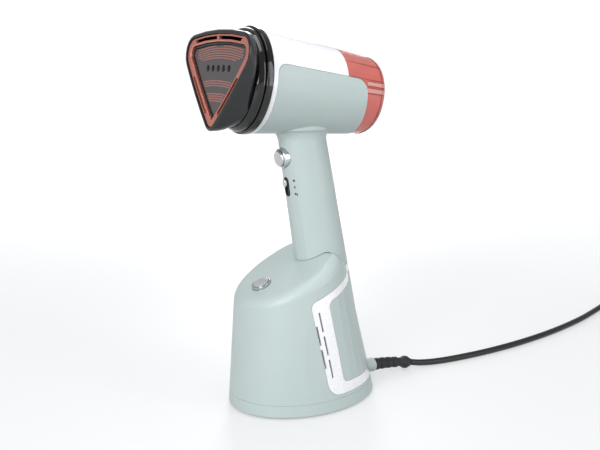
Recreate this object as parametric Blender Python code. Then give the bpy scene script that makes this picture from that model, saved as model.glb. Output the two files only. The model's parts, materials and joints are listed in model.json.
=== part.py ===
"""Handheld garment steamer that stands on its own base, with a suction head, a water tank and a mains lead.

Metres, +Z up. The head faces -Y, the cord leaves the base towards +Y, and X = 0 is the plane of symmetry.
The origin is on the floor, in the middle of the appliance's box without its cord.
"""

import math

import bmesh
import bpy
from mathutils import Matrix, Vector

# General
GAP = 0.0003  # between touching pieces
SEAT_GAP = 0.0007  # between the handle and the curved top that it stands on
WALL = 0.0024  # moulded shells
ROUND = 36  # segments of a large round piece
SMALL_ROUND = 20  # segments of a medium one
TINY_ROUND = 12  # segments of a hole or a screw

# Base: a leaning elliptical skirt with a sloping top
BASE_Y = 0.0044  # the base stands this far behind the origin, because the head hangs over the front
BASE_HALF_WIDTH = 0.0603
BASE_HALF_LENGTH = 0.0790
SIDE_LEAN = 0.070  # metres inwards for each metre up
FRONT_LEAN = 0.070
BACK_LEAN = 0.270
TOP_FRONT_HEIGHT = 0.1150
TOP_SLOPE = 0.360
TOP_CURVE = 0.80  # how fast the sloping top steepens towards the handle
TOP_CREST_FALL = 1.25  # slope behind the crest beside the handle
TOP_CREST_START = 0.1835  # height of that slope's line at the middle of the base
TOP_CREST_ROUND = 0.0030
TOP_FILLET = 0.0120
FOOT_HEIGHT = 0.0015
SEAM_HEIGHT = 0.0140  # between the bottom cover and the base shell
FLOOR_THICKNESS = 0.0025
FOOT_RADIUS = 0.0065
FOOT_INSET_X = 0.0243  # in from the base's half width and half length, as for the screws
FOOT_INSET_Y = 0.0330
SCREW_INSET_X = 0.0143
SCREW_INSET_Y = 0.0530
SCREW_HEAD_RADIUS = 0.0030
SCREW_HEAD_TOP = 0.0029
SCREW_RADIUS = 0.0014
SCREW_CLEARANCE = 0.0004
SCREW_TOP = 0.0135

# Handle: a leaning elliptical column that runs down the back of the base
HANDLE_BACK_LEAN = 0.210
HANDLE_FRONT = 0.0157
HANDLE_FRONT_LEAN = 0.156
HANDLE_HALF_WIDTH = 0.0256
HANDLE_SIDE_LEAN = 0.022
HANDLE_FLARE = 0.0110  # fillet where the handle meets the barrel

# Silver vent frame round the back panel, seen from the side
FRAME_BOTTOM = 0.0180
FRAME_TOP = 0.1115
FRAME_FRONT = -0.0085  # front edge, at the bottom
FRAME_LEAN = 0.200
FRAME_BAND = 0.0215
FRAME_LOWER_BAND = 0.0110
FRAME_UPPER_BAND = 0.0090
FRAME_TOP_SLOPE = 0.340
VENT_LENGTH = 0.0198
VENT_WIDTH = 0.0018
VENT_PITCH = 0.0240
VENT_COLUMN_STEP = 0.0055
VENT_START_BACK = 0.0072  # lower end of the first slot, from the frame's lower front corner
VENT_START_UP = 0.0180

# Barrel: everything along the head's axis. F counts forwards along it from the collar
BARREL_Y = -0.0545
BARREL_Z = 0.3160
BARREL_TILT = math.radians(7.2)
BARREL_RADIUS = 0.0478
BARREL_TAPER = 0.0785
BARREL_OVAL = 0.92  # width over height
COLLAR_REAR = 0.0030
COLLAR_SPLIT = 0.0100
COLLAR_FRONT = 0.0180
COLLAR_RADIUS = 0.0490
TOP_COVER_END = -0.0820
SIDE_COVER_FRONT = -0.0023
SIDE_COVER_END = -0.1040
SIDE_COVER_TOP = 0.0172
SIDE_COVER_SLOPE = 0.033
TANK_END = -0.1300
TANK_WALL = 0.0018
TANK_EDGE = 0.0060
TANK_CAP_FORWARD = -0.1205
FILLER_RADIUS = 0.0060
CAP_RIM_RADIUS = 0.0072
CAP_PLUG_RADIUS = 0.0057
CAP_PLUG_DEPTH = 0.0050
TANK_OUTLET_UP = -0.0180
PUMP_UP = 0.0020
PUMP_SETBACK = 0.0200  # from the bulkhead
PUMP_RADIUS = 0.0110
PUMP_LENGTH = 0.0280
SPIGOT_RADIUS = 0.0026
SPIGOT_LENGTH = 0.0060
HOSE_RADIUS = 0.0020
CHAMBER_INLET_UP = 0.0100

# Head: a rounded triangle with its point down
HEAD_DROP = -0.0038
HEAD_CORNER_X = 0.0475
HEAD_CORNER_UP = 0.0240
HEAD_CORNER_RADIUS = 0.0140
HEAD_TIP_UP = -0.0313
HEAD_TIP_RADIUS = 0.0100
HEAD_ARC_POINTS = 7
HEAD_SIDE_POINTS = 3
HEAD_FRONT = 0.0395
HEAD_LIP = 0.0035  # shell outside the suction ring
NECK_RADIUS = 0.0435
RING_FRONT = 0.0383
RING_THICKNESS = 0.0030
RING_WIDTH = 0.0068
PLATE_INSET = 0.0092
PLATE_FRONT = 0.0353
PLATE_THICKNESS = 0.0025
CHAMBER_THICKNESS = 0.0125
CHAMBER_SHOULDER = 0.0310  # where the sleeve starts to follow the shell inwards
SHELL_WAIST = 0.0290
SLEEVE_BACK = 0.0250
SLEEVE_INSET = 0.0055  # from the neck's radius
CHAMBER_INSET = 0.0100  # from the neck's radius
HEATER_RADIUS = 0.0030
HEATER_BEND = 0.0190
HEATER_LEGS = 0.0110
THERMOSTAT_RADIUS = 0.0085
THERMOSTAT_CORE = 0.0050
STEAM_HOLE_RADIUS = 0.0031
STEAM_HOLE_PITCH = 0.0104
STEAM_HOLE_UP = 0.0112
STEAM_HOLES = 5

# Controls
TRIGGER_HEIGHT = 0.2440
TRIGGER_RADIUS = 0.0078
TRIGGER_TRAVEL = 0.0030
TRIGGER_PROUD = 0.0058
SWITCH_HEIGHT = 0.2155
SWITCH_LENGTH = 0.0190
SWITCH_WIDTH = 0.0076
SWITCH_TRAVEL = 0.0080
POWER_Y = -0.0475
POWER_RADIUS = 0.0078
POWER_TRAVEL = 0.0012
BEZEL_WIDTH = 0.0014
STEM_RADIUS = 0.0015  # of the two buttons
SPRING_RADIUS = 0.0034
SPRING_WIRE = 0.0003
SPRING_TURNS = 3
MICROSWITCH_WIDTH = 0.0110
MICROSWITCH_DEPTH = 0.0084
MICROSWITCH_HEIGHT = 0.0057

# Suction fan and its motor, upright in the base
FAN_Y = -0.0120
FAN_RADIUS = 0.0440
FAN_BOTTOM = 0.0180
FAN_TOP = 0.0460
IMPELLER_RADIUS = 0.0380
BLADES = 9
MOTOR_RADIUS = 0.0220
MOTOR_TOP = 0.0950
SHAFT_RADIUS = 0.0020
DUCT_WALL = 0.0012
DUCT_INSET = 0.0045  # from the handle's inside to the duct
FAN_WALL = 0.0020
FAN_OUTLET_WIDTH = 0.0240
HUB_RADIUS = 0.0060
BLADE_THICKNESS = 0.0012
MOUNT_THICKNESS = 0.0050
BOARD_INSET = 0.0250
BOARD_HALF_WIDTH = 0.0260
BOARD_LOW = 0.0480
BOARD_HIGH = 0.0880
BOARD_THICKNESS = 0.0016
DUCT_CLEARANCE = 0.0012  # from the handle's inside to the edge of the hole under it

# Mains lead
CORD_RADIUS = 0.0035
CORD_HEIGHT = 0.0118
GLAND_RADIUS = 0.0078
GLAND_BORE = 0.0063
GLAND_PROUD = 0.0120
RELIEF_START = 0.0040  # from the base's rearmost point, as is RELIEF_END
RELIEF_END = 0.0580
RELIEF_TURN = 0.25  # how far it has turned towards +X at its end, and below the level
RELIEF_DROOP = 0.17
RELIEF_CORE = 0.0049
RELIEF_RIB_RADIUS = 0.0064
RELIEF_RIBS = 4
RELIEF_BULB = 0.0070
COIL_X = 0.0300
COIL_Y = 0.5600
COIL_LIFT = 0.0012  # room for the tie under the turns
COIL_RADIUS = 0.0420  # middle of its turns
COIL_TURNS = 3.75  # in each layer
COIL_LAYERS = 2
CORD_PITCH = 0.0072  # from one turn of the coil to the next
TIE_THICKNESS = 0.0008
TIE_WIDTH = 0.0080
PLUG_Y = 0.4972
PLUG_RADIUS = 0.0185
PLUG_LENGTH = 0.0340
PLUG_RELIEF_LENGTH = 0.0220
PIN_RADIUS = 0.0024
PIN_LENGTH = 0.0190
PIN_SPACING = 0.0190

# The free stretch of the cord, from the strain relief down to the floor and on to the coil
CORD_ROUTE = (
    (0.0074, 0.1419, 0.0068),
    (0.0099, 0.1515, 0.0051),
    (0.0129, 0.1640, 0.0041),
    (0.0157, 0.1780, 0.0037),
    (0.0181, 0.1940, 0.0036),
    (0.0202, 0.2130, 0.0036),
    (0.0218, 0.2350, 0.0036),
    (0.0225, 0.2600, 0.0036),
    (0.0221, 0.2870, 0.0036),
    (0.0204, 0.3160, 0.0036),
    (0.0174, 0.3460, 0.0036),
    (0.0130, 0.3770, 0.0036),
    (0.0072, 0.4080, 0.0036),
    (0.0004, 0.4380, 0.0036),
    (-0.0076, 0.4660, 0.0036),
    (-0.0150, 0.4900, 0.0037),
    (-0.0212, 0.5100, 0.0041),
    (-0.0245, 0.5220, 0.0046),
    (-0.0255, 0.5315, 0.0048),
)

# From the coil's upper layer to the plug, which lies on the floor beside it
TAIL_ROUTE = (
    (0.0855, 0.5315, 0.0120),
    (0.0855, 0.5215, 0.0131),
    (0.0855, 0.5125, 0.0160),
    (0.0855, 0.5045, 0.0181),
    (0.0855, 0.4975, 0.0186),
)


# ---------------------------------------------------------------- helpers


def clear_scene():
    for obj in list(bpy.data.objects):
        bpy.data.objects.remove(obj)


def linear(channel):
    return channel / 12.92 if channel <= 0.04045 else ((channel + 0.055) / 1.055) ** 2.4


def material(name, colour, roughness, metallic=0.0):
    """A Principled material from an sRGB hex colour."""
    made = bpy.data.materials.new(name)
    made.use_nodes = True
    shader = made.node_tree.nodes["Principled BSDF"]
    rgb = [linear(int(colour[i : i + 2], 16) / 255) for i in (1, 3, 5)]
    shader.inputs["Base Color"].default_value = (*rgb, 1)
    shader.inputs["Roughness"].default_value = roughness
    shader.inputs["Metallic"].default_value = metallic
    made.diffuse_color = (*rgb, 1)
    return made


def empty(name, location, parent=None, rotation=(0, 0, 0)):
    made = bpy.data.objects.new(name, None)
    made.location = location
    made.rotation_euler = rotation
    made.parent = parent
    bpy.context.collection.objects.link(made)
    return made


def finish(name, bm, look, parent, smooth=math.radians(35)):
    """Turn a bmesh into a named object with faces that point outwards."""
    bmesh.ops.remove_doubles(bm, verts=bm.verts, dist=1e-7)
    bmesh.ops.recalc_face_normals(bm, faces=bm.faces)
    mesh = bpy.data.meshes.new(name)
    bm.to_mesh(mesh)
    bm.free()
    mesh.shade_smooth()
    mesh.set_sharp_from_angle(angle=smooth)
    mesh.materials.append(look)
    made = bpy.data.objects.new(name, mesh)
    made.parent = parent
    bpy.context.collection.objects.link(made)
    return made


def lofted(name, rings, look, parent=None, loop=False, split=False):
    """Bridge rings of as many points each. A loop joins the last to the first, otherwise both ends are capped.

    Split gives every quad the same diagonal, so that two offset copies of a warped shape stay apart.
    """
    bm = bmesh.new()
    loops = [[bm.verts.new(point) for point in ring] for ring in rings]
    pairs = list(zip(loops, loops[1:]))
    if loop:
        pairs.append((loops[-1], loops[0]))
    count = len(rings[0])
    for lower, upper in pairs:
        for i in range(count):
            j = (i + 1) % count
            if split:
                bm.faces.new((lower[i], lower[j], upper[j]))
                bm.faces.new((lower[i], upper[j], upper[i]))
            else:
                bm.faces.new((lower[i], lower[j], upper[j], upper[i]))
    if not loop:
        bm.faces.new(loops[0])
        bm.faces.new(loops[-1])
    return finish(name, bm, look, parent)


def turned(name, profile, look, parent=None, segments=ROUND, oval=1.0):
    """Spin a profile of (radius, height) points about Z. It is closed unless it starts and ends on the axis."""
    bm = bmesh.new()
    verts = [bm.verts.new((radius, 0, height)) for radius, height in profile]
    edges = [bm.edges.new(pair) for pair in zip(verts, verts[1:])]
    if profile[0][0] > 0 or profile[-1][0] > 0:
        edges.append(bm.edges.new((verts[-1], verts[0])))
    bmesh.ops.spin(
        bm,
        geom=verts + edges,
        axis=(0, 0, 1),
        cent=(0, 0, 0),
        angle=2 * math.pi,
        steps=segments,
        use_merge=True,
    )
    bmesh.ops.remove_doubles(bm, verts=bm.verts, dist=1e-7)
    bmesh.ops.scale(bm, vec=(oval, 1, 1), verts=bm.verts)
    return finish(name, bm, look, parent)


def box(name, low, high, look, parent=None):
    corners = [(low[0], low[1]), (high[0], low[1]), (high[0], high[1]), (low[0], high[1])]
    rings = [[(x, y, z) for x, y in corners] for z in (low[2], high[2])]
    return lofted(name, rings, look, parent)


def prism_x(name, outline, half_width, look, parent=None):
    """A (y, z) outline extruded to both sides of X = 0."""
    rings = [[(x, y, z) for y, z in outline] for x in (-half_width, half_width)]
    return lofted(name, rings, look, parent)


def prism_z(name, outline, low, high, look, parent=None):
    """An (x, y) outline extruded from one height to another."""
    rings = [[(x, y, z) for x, y in outline] for z in (low, high)]
    return lofted(name, rings, look, parent)


def tube(name, points, radius, look, parent=None, resolution=2):
    """A round bar or wire along a row of points, with filled ends."""
    curve = bpy.data.curves.new(name, "CURVE")
    curve.dimensions = "3D"
    curve.bevel_depth = radius
    curve.bevel_resolution = resolution
    curve.use_fill_caps = True
    spline = curve.splines.new("POLY")
    spline.points.add(len(points) - 1)
    for target, point in zip(spline.points, points):
        target.co = (*point, 1)
    curve.materials.append(look)
    made = bpy.data.objects.new(name, curve)
    made.parent = parent
    bpy.context.collection.objects.link(made)
    return made


def hide(cutter):
    cutter.hide_render = True
    cutter.display_type = "WIRE"
    return cutter


def combine(obj, other, operation):
    modifier = obj.modifiers.new(other.name, "BOOLEAN")
    modifier.operation = operation
    modifier.solver = "EXACT"
    modifier.object = other


def cut(obj, *cutters):
    for cutter in cutters:
        combine(obj, cutter, "DIFFERENCE")


def keep(obj, *shapes):
    for shape in shapes:
        combine(obj, shape, "INTERSECT")


def join(obj, *shapes):
    for shape in shapes:
        combine(obj, shape, "UNION")


def aim(obj, location, direction):
    """Put an object's origin at a place, with its Z along a direction."""
    obj.location = location
    obj.rotation_euler = direction.to_track_quat("Z", "Y").to_euler()
    return obj


def arc(centre, radius, start, end, count):
    """Points on an arc, with angles in degrees."""
    angles = [math.radians(start + (end - start) * i / (count - 1)) for i in range(count)]
    return [
        (centre[0] + radius * math.cos(angle), centre[1] + radius * math.sin(angle))
        for angle in angles
    ]


def rounded(corners, steps=6):
    """An outline from (x, y, radius) corners, each rounded by an arc that touches both sides."""
    outline = []
    for i, (x, y, radius) in enumerate(corners):
        here = Vector((x, y))
        before = Vector(corners[i - 1][:2]) - here
        after = Vector(corners[(i + 1) % len(corners)][:2]) - here
        if radius == 0:
            outline.append((x, y))
            continue
        half = before.angle(after) / 2
        reach = radius / math.tan(half)
        middle = here + (before.normalized() + after.normalized()).normalized() * radius / math.sin(half)
        first = here + before.normalized() * reach - middle
        last = here + after.normalized() * reach - middle
        turn = first.angle_signed(last)
        for step in range(steps + 1):
            spoke = first.copy()
            spoke.rotate(Matrix.Rotation(-turn * step / steps, 2))
            outline.append(tuple(middle + spoke))
    return outline


def smooth_path(points, step):
    """Points a step apart on a smooth curve through the route's own points."""
    route = [Vector(point) for point in points]
    ends = [2 * route[0] - route[1], *route, 2 * route[-1] - route[-2]]
    dense = []
    for a, b, c, d in zip(ends, ends[1:], ends[2:], ends[3:]):
        for i in range(20):
            t = i / 20
            dense.append(
                0.5 * (2 * b + (c - a) * t + (2 * a - 5 * b + 4 * c - d) * t**2 + (3 * b - 3 * c + d - a) * t**3)
            )
    dense.append(route[-1])
    length = sum((q - p).length for p, q in zip(dense, dense[1:]))
    count = round(length / step)
    picked = [dense[0]]
    travelled = 0.0
    for p, q in zip(dense, dense[1:]):
        travelled += (q - p).length
        if travelled >= length * len(picked) / count - 1e-9:
            picked.append(q)
    picked[-1] = dense[-1]
    return picked


# ---------------------------------------------------------------- shape of the base and the handle


def skirt_section(height, inset=0.0):
    """Half width, half length and middle y of the base at a height."""
    front = -BASE_HALF_LENGTH + FRONT_LEAN * height
    back = BASE_HALF_LENGTH - BACK_LEAN * height
    half_width = BASE_HALF_WIDTH - SIDE_LEAN * height
    return half_width - inset, (back - front) / 2 - inset, (back + front) / 2


def skirt_point(angle, height, inset=0.0):
    half_width, half_length, middle = skirt_section(height, inset)
    return Vector((half_width * math.cos(angle), middle + half_length * math.sin(angle), height))


def top_height(y, inset=0.0):
    """Height of the base's top at a place along Y: it sweeps up towards the handle and falls behind it."""
    along = max(y + BASE_HALF_LENGTH - FRONT_LEAN * TOP_FRONT_HEIGHT, 0)
    rising = TOP_FRONT_HEIGHT + TOP_SLOPE * along + TOP_CURVE * along**2 - inset
    falling = TOP_CREST_START - TOP_CREST_FALL * y - inset * math.hypot(1, TOP_CREST_FALL)
    middle = (rising + falling) / 2
    apart = (rising - falling) / 2
    return middle - math.sqrt(apart**2 + TOP_CREST_ROUND**2)


def top_tilt(y):
    """Angle of the sloping top at a place in front of the handle."""
    along = y + BASE_HALF_LENGTH - FRONT_LEAN * TOP_FRONT_HEIGHT
    return math.atan(TOP_SLOPE + 2 * TOP_CURVE * along)


def skirt_edge(angle, inset):
    """Height at which the side wall at this angle would meet the sloping top."""
    height = TOP_FRONT_HEIGHT
    for _ in range(12):
        height = top_height(skirt_point(angle, height, inset).y, inset)
    return height


def skirt(name, bottom, inset, parent, look):
    """The base as a solid from a height up to its sloping top, every wall moved in by the inset."""
    angles = [2 * math.pi * i / ROUND for i in range(ROUND)]
    fillet = max(TOP_FILLET - inset, 0.001)
    edges = [skirt_edge(angle, inset) for angle in angles]
    rings = []
    for share in (0, 0.5, 1):
        rings.append(
            [
                skirt_point(angle, bottom + share * (edge - fillet - bottom), inset)
                for angle, edge in zip(angles, edges)
            ]
        )
    middle_y = HANDLE_FRONT / 2
    for turn in (18, 36, 54, 72):
        inwards = fillet * (1 - math.cos(math.radians(turn)))
        upwards = fillet * (1 - math.sin(math.radians(turn)))
        rings.append(
            [
                skirt_point(angle, edge - upwards, inset + inwards)
                for angle, edge in zip(angles, edges)
            ]
        )
    rim = rings[-1]
    for share in (0.25, 0.55, 0.85):
        ring = []
        for point in rim:
            y = point.y + share * (middle_y - point.y)
            drop = (1 - share) * (top_height(point.y, inset) - point.z)
            ring.append(Vector((point.x * (1 - share), y, top_height(y, inset) - drop * (1 - share))))
        rings.append(ring)
    return lofted(name, rings, look, parent, split=True)


def handle_section(height, inset=0.0):
    """Half width, half length and middle y of the handle's column at a height."""
    front = HANDLE_FRONT - HANDLE_FRONT_LEAN * height
    back = BASE_HALF_LENGTH - HANDLE_BACK_LEAN * height
    half_width = HANDLE_HALF_WIDTH - HANDLE_SIDE_LEAN * height
    return half_width - inset, (back - front) / 2 - inset, (back + front) / 2


def handle_ring(height, inset=0.0, flare=0.0, count=32):
    half_width, half_length, middle = handle_section(height, inset)
    return [
        Vector(
            (
                (half_width + flare * 0.5) * math.cos(2 * math.pi * i / count),
                middle + (half_length + flare) * math.sin(2 * math.pi * i / count),
                height,
            )
        )
        for i in range(count)
    ]


def column(name, low, high, inset, parent, look, flared=False):
    """The handle's column as a solid between two heights, with a fillet into the barrel if flared."""
    barrel_bottom = BARREL_Z - BARREL_RADIUS
    levels = [(low, 0.0), (high, 0.0)]
    if flared:
        levels = [(low, 0.0), ((low + barrel_bottom) / 2, 0.0)]
        for turn in (0, 22, 44, 62, 78):
            height = barrel_bottom + HANDLE_FLARE * (math.sin(math.radians(turn)) - 0.75)
            levels.append((height, HANDLE_FLARE * (1 - math.cos(math.radians(turn)))))
        levels.append((high, levels[-1][1]))
    rings = [handle_ring(height, inset, flare) for height, flare in levels]
    return lofted(name, rings, look, parent)


def frame_outline(spread, low, high, front_bottom, top, front_radii):
    """Side view of the vent frame's edge: it runs off the back, and its front leans with the vents."""
    far = 2 * BASE_HALF_LENGTH
    front_top = front_bottom - FRAME_LEAN * (top - low)
    lower = low - spread
    upper = top + spread
    return rounded(
        [
            (front_bottom - spread, lower, front_radii[0]),
            (far, high - spread, 0),
            (far, upper + FRAME_TOP_SLOPE * (far - front_top), 0),
            (front_top - spread, upper, front_radii[1]),
        ]
    )


def outer_frame_outline(spread=0.0):
    return frame_outline(spread, FRAME_BOTTOM, FRAME_BOTTOM, FRAME_FRONT + 0.004, FRAME_TOP, (0.014, 0.007))


def inner_frame_outline(spread=0.0):
    low = FRAME_BOTTOM + FRAME_LOWER_BAND
    top = FRAME_TOP - FRAME_UPPER_BAND + FRAME_TOP_SLOPE * FRAME_BAND
    front = FRAME_FRONT + FRAME_BAND
    return frame_outline(spread, low, FRAME_BOTTOM + FRAME_LOWER_BAND / 2, front, top, (0.007, 0.006))


# ---------------------------------------------------------------- base


def base_solids(stand, guide):
    """The shapes that the base's shells are cut from."""
    low = SEAM_HEIGHT - 0.004
    crown = top_height(0.0) + 0.03
    shapes = {
        "skirt_out": skirt("skirt_out", SEAM_HEIGHT + GAP, 0.0, stand, guide),
        "skirt_in": skirt("skirt_in", low, WALL, stand, guide),
        "skirt_clear": skirt("skirt_clear", low, -SEAT_GAP, stand, guide),
        "column_out": column("column_out", SEAM_HEIGHT + 0.0015, crown, 0.0, stand, guide),
        "column_in": column("column_in", low - 0.002, crown + 0.01, WALL, stand, guide),
        "frame_out": prism_x("frame_out", outer_frame_outline(), 0.09, guide, stand),
        "frame_out_clear": prism_x("frame_out_clear", outer_frame_outline(GAP), 0.09, guide, stand),
        "frame_in": prism_x("frame_in", inner_frame_outline(), 0.09, guide, stand),
        "frame_in_clear": prism_x("frame_in_clear", inner_frame_outline(GAP), 0.09, guide, stand),
        "vents": vent_slots(stand, guide),
        "gland_hole": turned("gland_hole", [(0, -0.03), (GLAND_RADIUS, -0.03), (GLAND_RADIUS, 0.03), (0, 0.03)],
                             guide, stand, SMALL_ROUND),
    }
    aim(shapes["gland_hole"], (0, BASE_HALF_LENGTH, CORD_HEIGHT), Vector((0, 1, 0)))
    for shape in shapes.values():
        hide(shape)
    return shapes


def vent_slots(stand, guide):
    """Two staggered columns of slots, cut right through both sides of the frame."""
    bm = bmesh.new()
    lean = Vector((0, -FRAME_LEAN, 1)).normalized()
    across = Vector((0, 1, FRAME_LEAN)).normalized()
    start = Vector((0, FRAME_FRONT + VENT_START_BACK, FRAME_BOTTOM + VENT_START_UP))
    for column_number, count in ((0, 3), (1, 2)):
        for row in range(count):
            shift = row * VENT_PITCH + column_number * VENT_PITCH / 2
            low = start + lean * shift - across * VENT_COLUMN_STEP * column_number
            high = low + lean * VENT_LENGTH
            corners = [
                low - across * VENT_WIDTH / 2,
                low + across * VENT_WIDTH / 2,
                high + across * VENT_WIDTH / 2,
                high - across * VENT_WIDTH / 2,
            ]
            sides = [[bm.verts.new(corner + Vector((x, 0, 0))) for corner in corners] for x in (-0.09, 0.09)]
            bm.faces.new(sides[0])
            bm.faces.new(sides[1])
            for i in range(4):
                j = (i + 1) % 4
                bm.faces.new((sides[0][i], sides[0][j], sides[1][j], sides[1][i]))
    return finish("vents", bm, guide, stand)


def base_shell(shapes, stand, look, duct_hole, power_hole):
    shell = skirt("base_shell", SEAM_HEIGHT + GAP, 0.0, stand, look)
    cut(shell, shapes["skirt_in"], shapes["frame_out_clear"], duct_hole, power_hole, shapes["gland_hole"])
    return shell


def vent_frame(shapes, stand, look):
    frame = skirt("vent_frame", SEAM_HEIGHT + GAP, 0.0, stand, look)
    join(frame, shapes["column_out"])
    cut(frame, shapes["skirt_in"], shapes["column_in"])
    keep(frame, shapes["frame_out"])
    cut(frame, shapes["frame_in_clear"], shapes["vents"], shapes["gland_hole"])
    return frame


def back_panel(shapes, stand, look):
    panel = skirt("back_panel", SEAM_HEIGHT + GAP, 0.0, stand, look)
    join(panel, shapes["column_out"])
    cut(panel, shapes["skirt_in"], shapes["column_in"])
    keep(panel, shapes["frame_in"])
    cut(panel, shapes["gland_hole"])
    return panel


def skirt_ring(height, inset=0.0):
    return [skirt_point(2 * math.pi * i / ROUND, height, inset) for i in range(ROUND)]


def bottom_cover(shapes, stand, look):
    """A shallow tray with a rim that carries the skirt's line down to the floor."""
    inside = FOOT_HEIGHT + FLOOR_THICKNESS
    rings = [
        skirt_ring(FOOT_HEIGHT, 0.0012),
        skirt_ring(FOOT_HEIGHT + 0.0012, 0.0),
        skirt_ring(SEAM_HEIGHT, 0.0),
        skirt_ring(SEAM_HEIGHT, WALL),
        skirt_ring(inside, WALL),
    ]
    cover = lofted("bottom_cover", rings, look, stand)
    cut(cover, shapes["gland_hole"])
    for hole in screw_holes(stand, look):
        cut(cover, hole)
    return cover


def foot_places():
    far_x, far_y = BASE_HALF_WIDTH - FOOT_INSET_X, BASE_HALF_LENGTH - FOOT_INSET_Y
    return [(x * far_x, y * far_y) for x in (-1, 1) for y in (-1, 1)]


def screw_places():
    far_x, far_y = BASE_HALF_WIDTH - SCREW_INSET_X, BASE_HALF_LENGTH - SCREW_INSET_Y
    return [(x * far_x, y * far_y) for x in (-1, 1) for y in (-1, 1)]


def screw_holes(stand, guide):
    pocket = SCREW_HEAD_RADIUS + SCREW_CLEARANCE
    shank = SCREW_RADIUS + SCREW_CLEARANCE
    shelf = SCREW_HEAD_TOP + GAP
    above = FOOT_HEIGHT + 2 * FLOOR_THICKNESS
    profile = [(0, -shelf), (pocket, -shelf), (pocket, shelf), (shank, shelf), (shank, above), (0, above)]
    holes = []
    for number, (x, y) in enumerate(screw_places(), 1):
        hole = turned(f"screw_hole_{number}", profile, guide, stand, TINY_ROUND)
        hole.location = (x, y, 0)
        holes.append(hide(hole))
    return holes


def feet(stand, look):
    """Rubber pads in the corners, just proud of the bottom cover."""
    edge = FOOT_RADIUS - 0.0007
    profile = [(0, 0), (edge, 0), (FOOT_RADIUS, 0.0004), (FOOT_RADIUS, FOOT_HEIGHT - GAP), (0, FOOT_HEIGHT - GAP)]
    for number, (x, y) in enumerate(foot_places(), 1):
        foot = turned(f"rubber_foot_{number}", profile, look, stand, SMALL_ROUND)
        foot.location = (x, y, 0)


def base_screws(stand, look):
    """Countersunk-pocket screws that hold the bottom cover up."""
    profile = [
        (0, FOOT_HEIGHT + 0.0002),
        (SCREW_HEAD_RADIUS, FOOT_HEIGHT + 0.0002),
        (SCREW_HEAD_RADIUS, SCREW_HEAD_TOP),
        (SCREW_RADIUS, SCREW_HEAD_TOP),
        (SCREW_RADIUS, SCREW_TOP - SCREW_RADIUS),
        (0, SCREW_TOP),
    ]
    for number, (x, y) in enumerate(screw_places(), 1):
        screw = turned(f"base_screw_{number}", profile, look, stand, TINY_ROUND)
        screw.location = (x, y, 0)


# ---------------------------------------------------------------- barrel and head


def barrel_radius(forward, inset=0.0):
    return BARREL_RADIUS + BARREL_TAPER * forward - inset


def barrel_cone(name, front, rear, inset, barrel, look):
    profile = [
        (0, rear),
        (barrel_radius(rear, inset), rear),
        (barrel_radius(front, inset), front),
        (0, front),
    ]
    return turned(name, profile, look, barrel, ROUND, BARREL_OVAL)


def side_cover_outline(spread=0.0):
    """Side view of the coloured lower cover, in the barrel's own (up, forward) plane."""
    top_front = SIDE_COVER_TOP + spread
    top_rear = SIDE_COVER_TOP + SIDE_COVER_SLOPE * SIDE_COVER_END + spread
    front = SIDE_COVER_FRONT + spread
    rear = SIDE_COVER_END - spread
    below = -2 * BARREL_RADIUS
    return rounded(
        [
            (below, front, 0),
            (top_front, front, 0.0090),
            (top_rear, rear, 0.0130),
            (below, rear - 0.0130, 0),
        ]
    )


def top_cover(barrel, look, side_clear):
    """White upper shell, with the narrow band that shows between the collar and the side covers."""
    front = COLLAR_REAR - GAP
    profile = [
        (barrel_radius(front, WALL), front),
        (barrel_radius(TOP_COVER_END, WALL), TOP_COVER_END),
        (barrel_radius(TOP_COVER_END), TOP_COVER_END),
        (barrel_radius(front), front),
    ]
    cover = turned("top_cover", profile, look, barrel, ROUND, BARREL_OVAL)
    cut(cover, side_clear)
    return cover


def body_half(name, side, shapes, barrel_shapes, stand, barrel, look, openings):
    """One half of the coloured body: half of the barrel's lower cover with half of the handle."""
    near, far = GAP / 2, 2 * BASE_HALF_WIDTH
    low, high = sorted((side * near, side * far))
    side_box = hide(box(f"{name}_side", (low, -0.3, 0.05), (high, 0.3, 0.5), look, stand))
    half = barrel_cone(name, SIDE_COVER_FRONT + 0.004, SIDE_COVER_END - 0.016, 0.0, barrel, look)
    keep(half, barrel_shapes["side_cover"])
    join(half, barrel_shapes["handle_out"])
    keep(half, side_box)
    cut(half, barrel_shapes["barrel_in"], barrel_shapes["handle_in"])
    cut(half, shapes["skirt_clear"], shapes["frame_out_clear"], *openings)
    return half


def barrel_solids(stand, barrel, guide):
    """The shapes that the barrel's covers are cut from."""
    low = TOP_FRONT_HEIGHT - 0.010
    shapes = {
        "side_cover": side_prism("side_cover", 0.0, barrel, guide),
        "side_cover_clear": side_prism("side_cover_clear", GAP, barrel, guide),
        "barrel_in": barrel_cone("barrel_in", 0.02, TANK_END - 0.02, WALL, barrel, guide),
        "handle_out": column("handle_out", low, BARREL_Z - 0.020, 0.0, stand, guide, flared=True),
        "handle_in": column("handle_in", low - 0.01, BARREL_Z - 0.015, WALL, stand, guide, flared=True),
    }
    for shape in shapes.values():
        hide(shape)
    return shapes


def side_prism(name, spread, barrel, look):
    """The side covers' outline, extruded across the barrel."""
    rings = [[(x, up, forward) for up, forward in side_cover_outline(spread)] for x in (-0.08, 0.08)]
    return lofted(name, rings, look, barrel)


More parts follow.
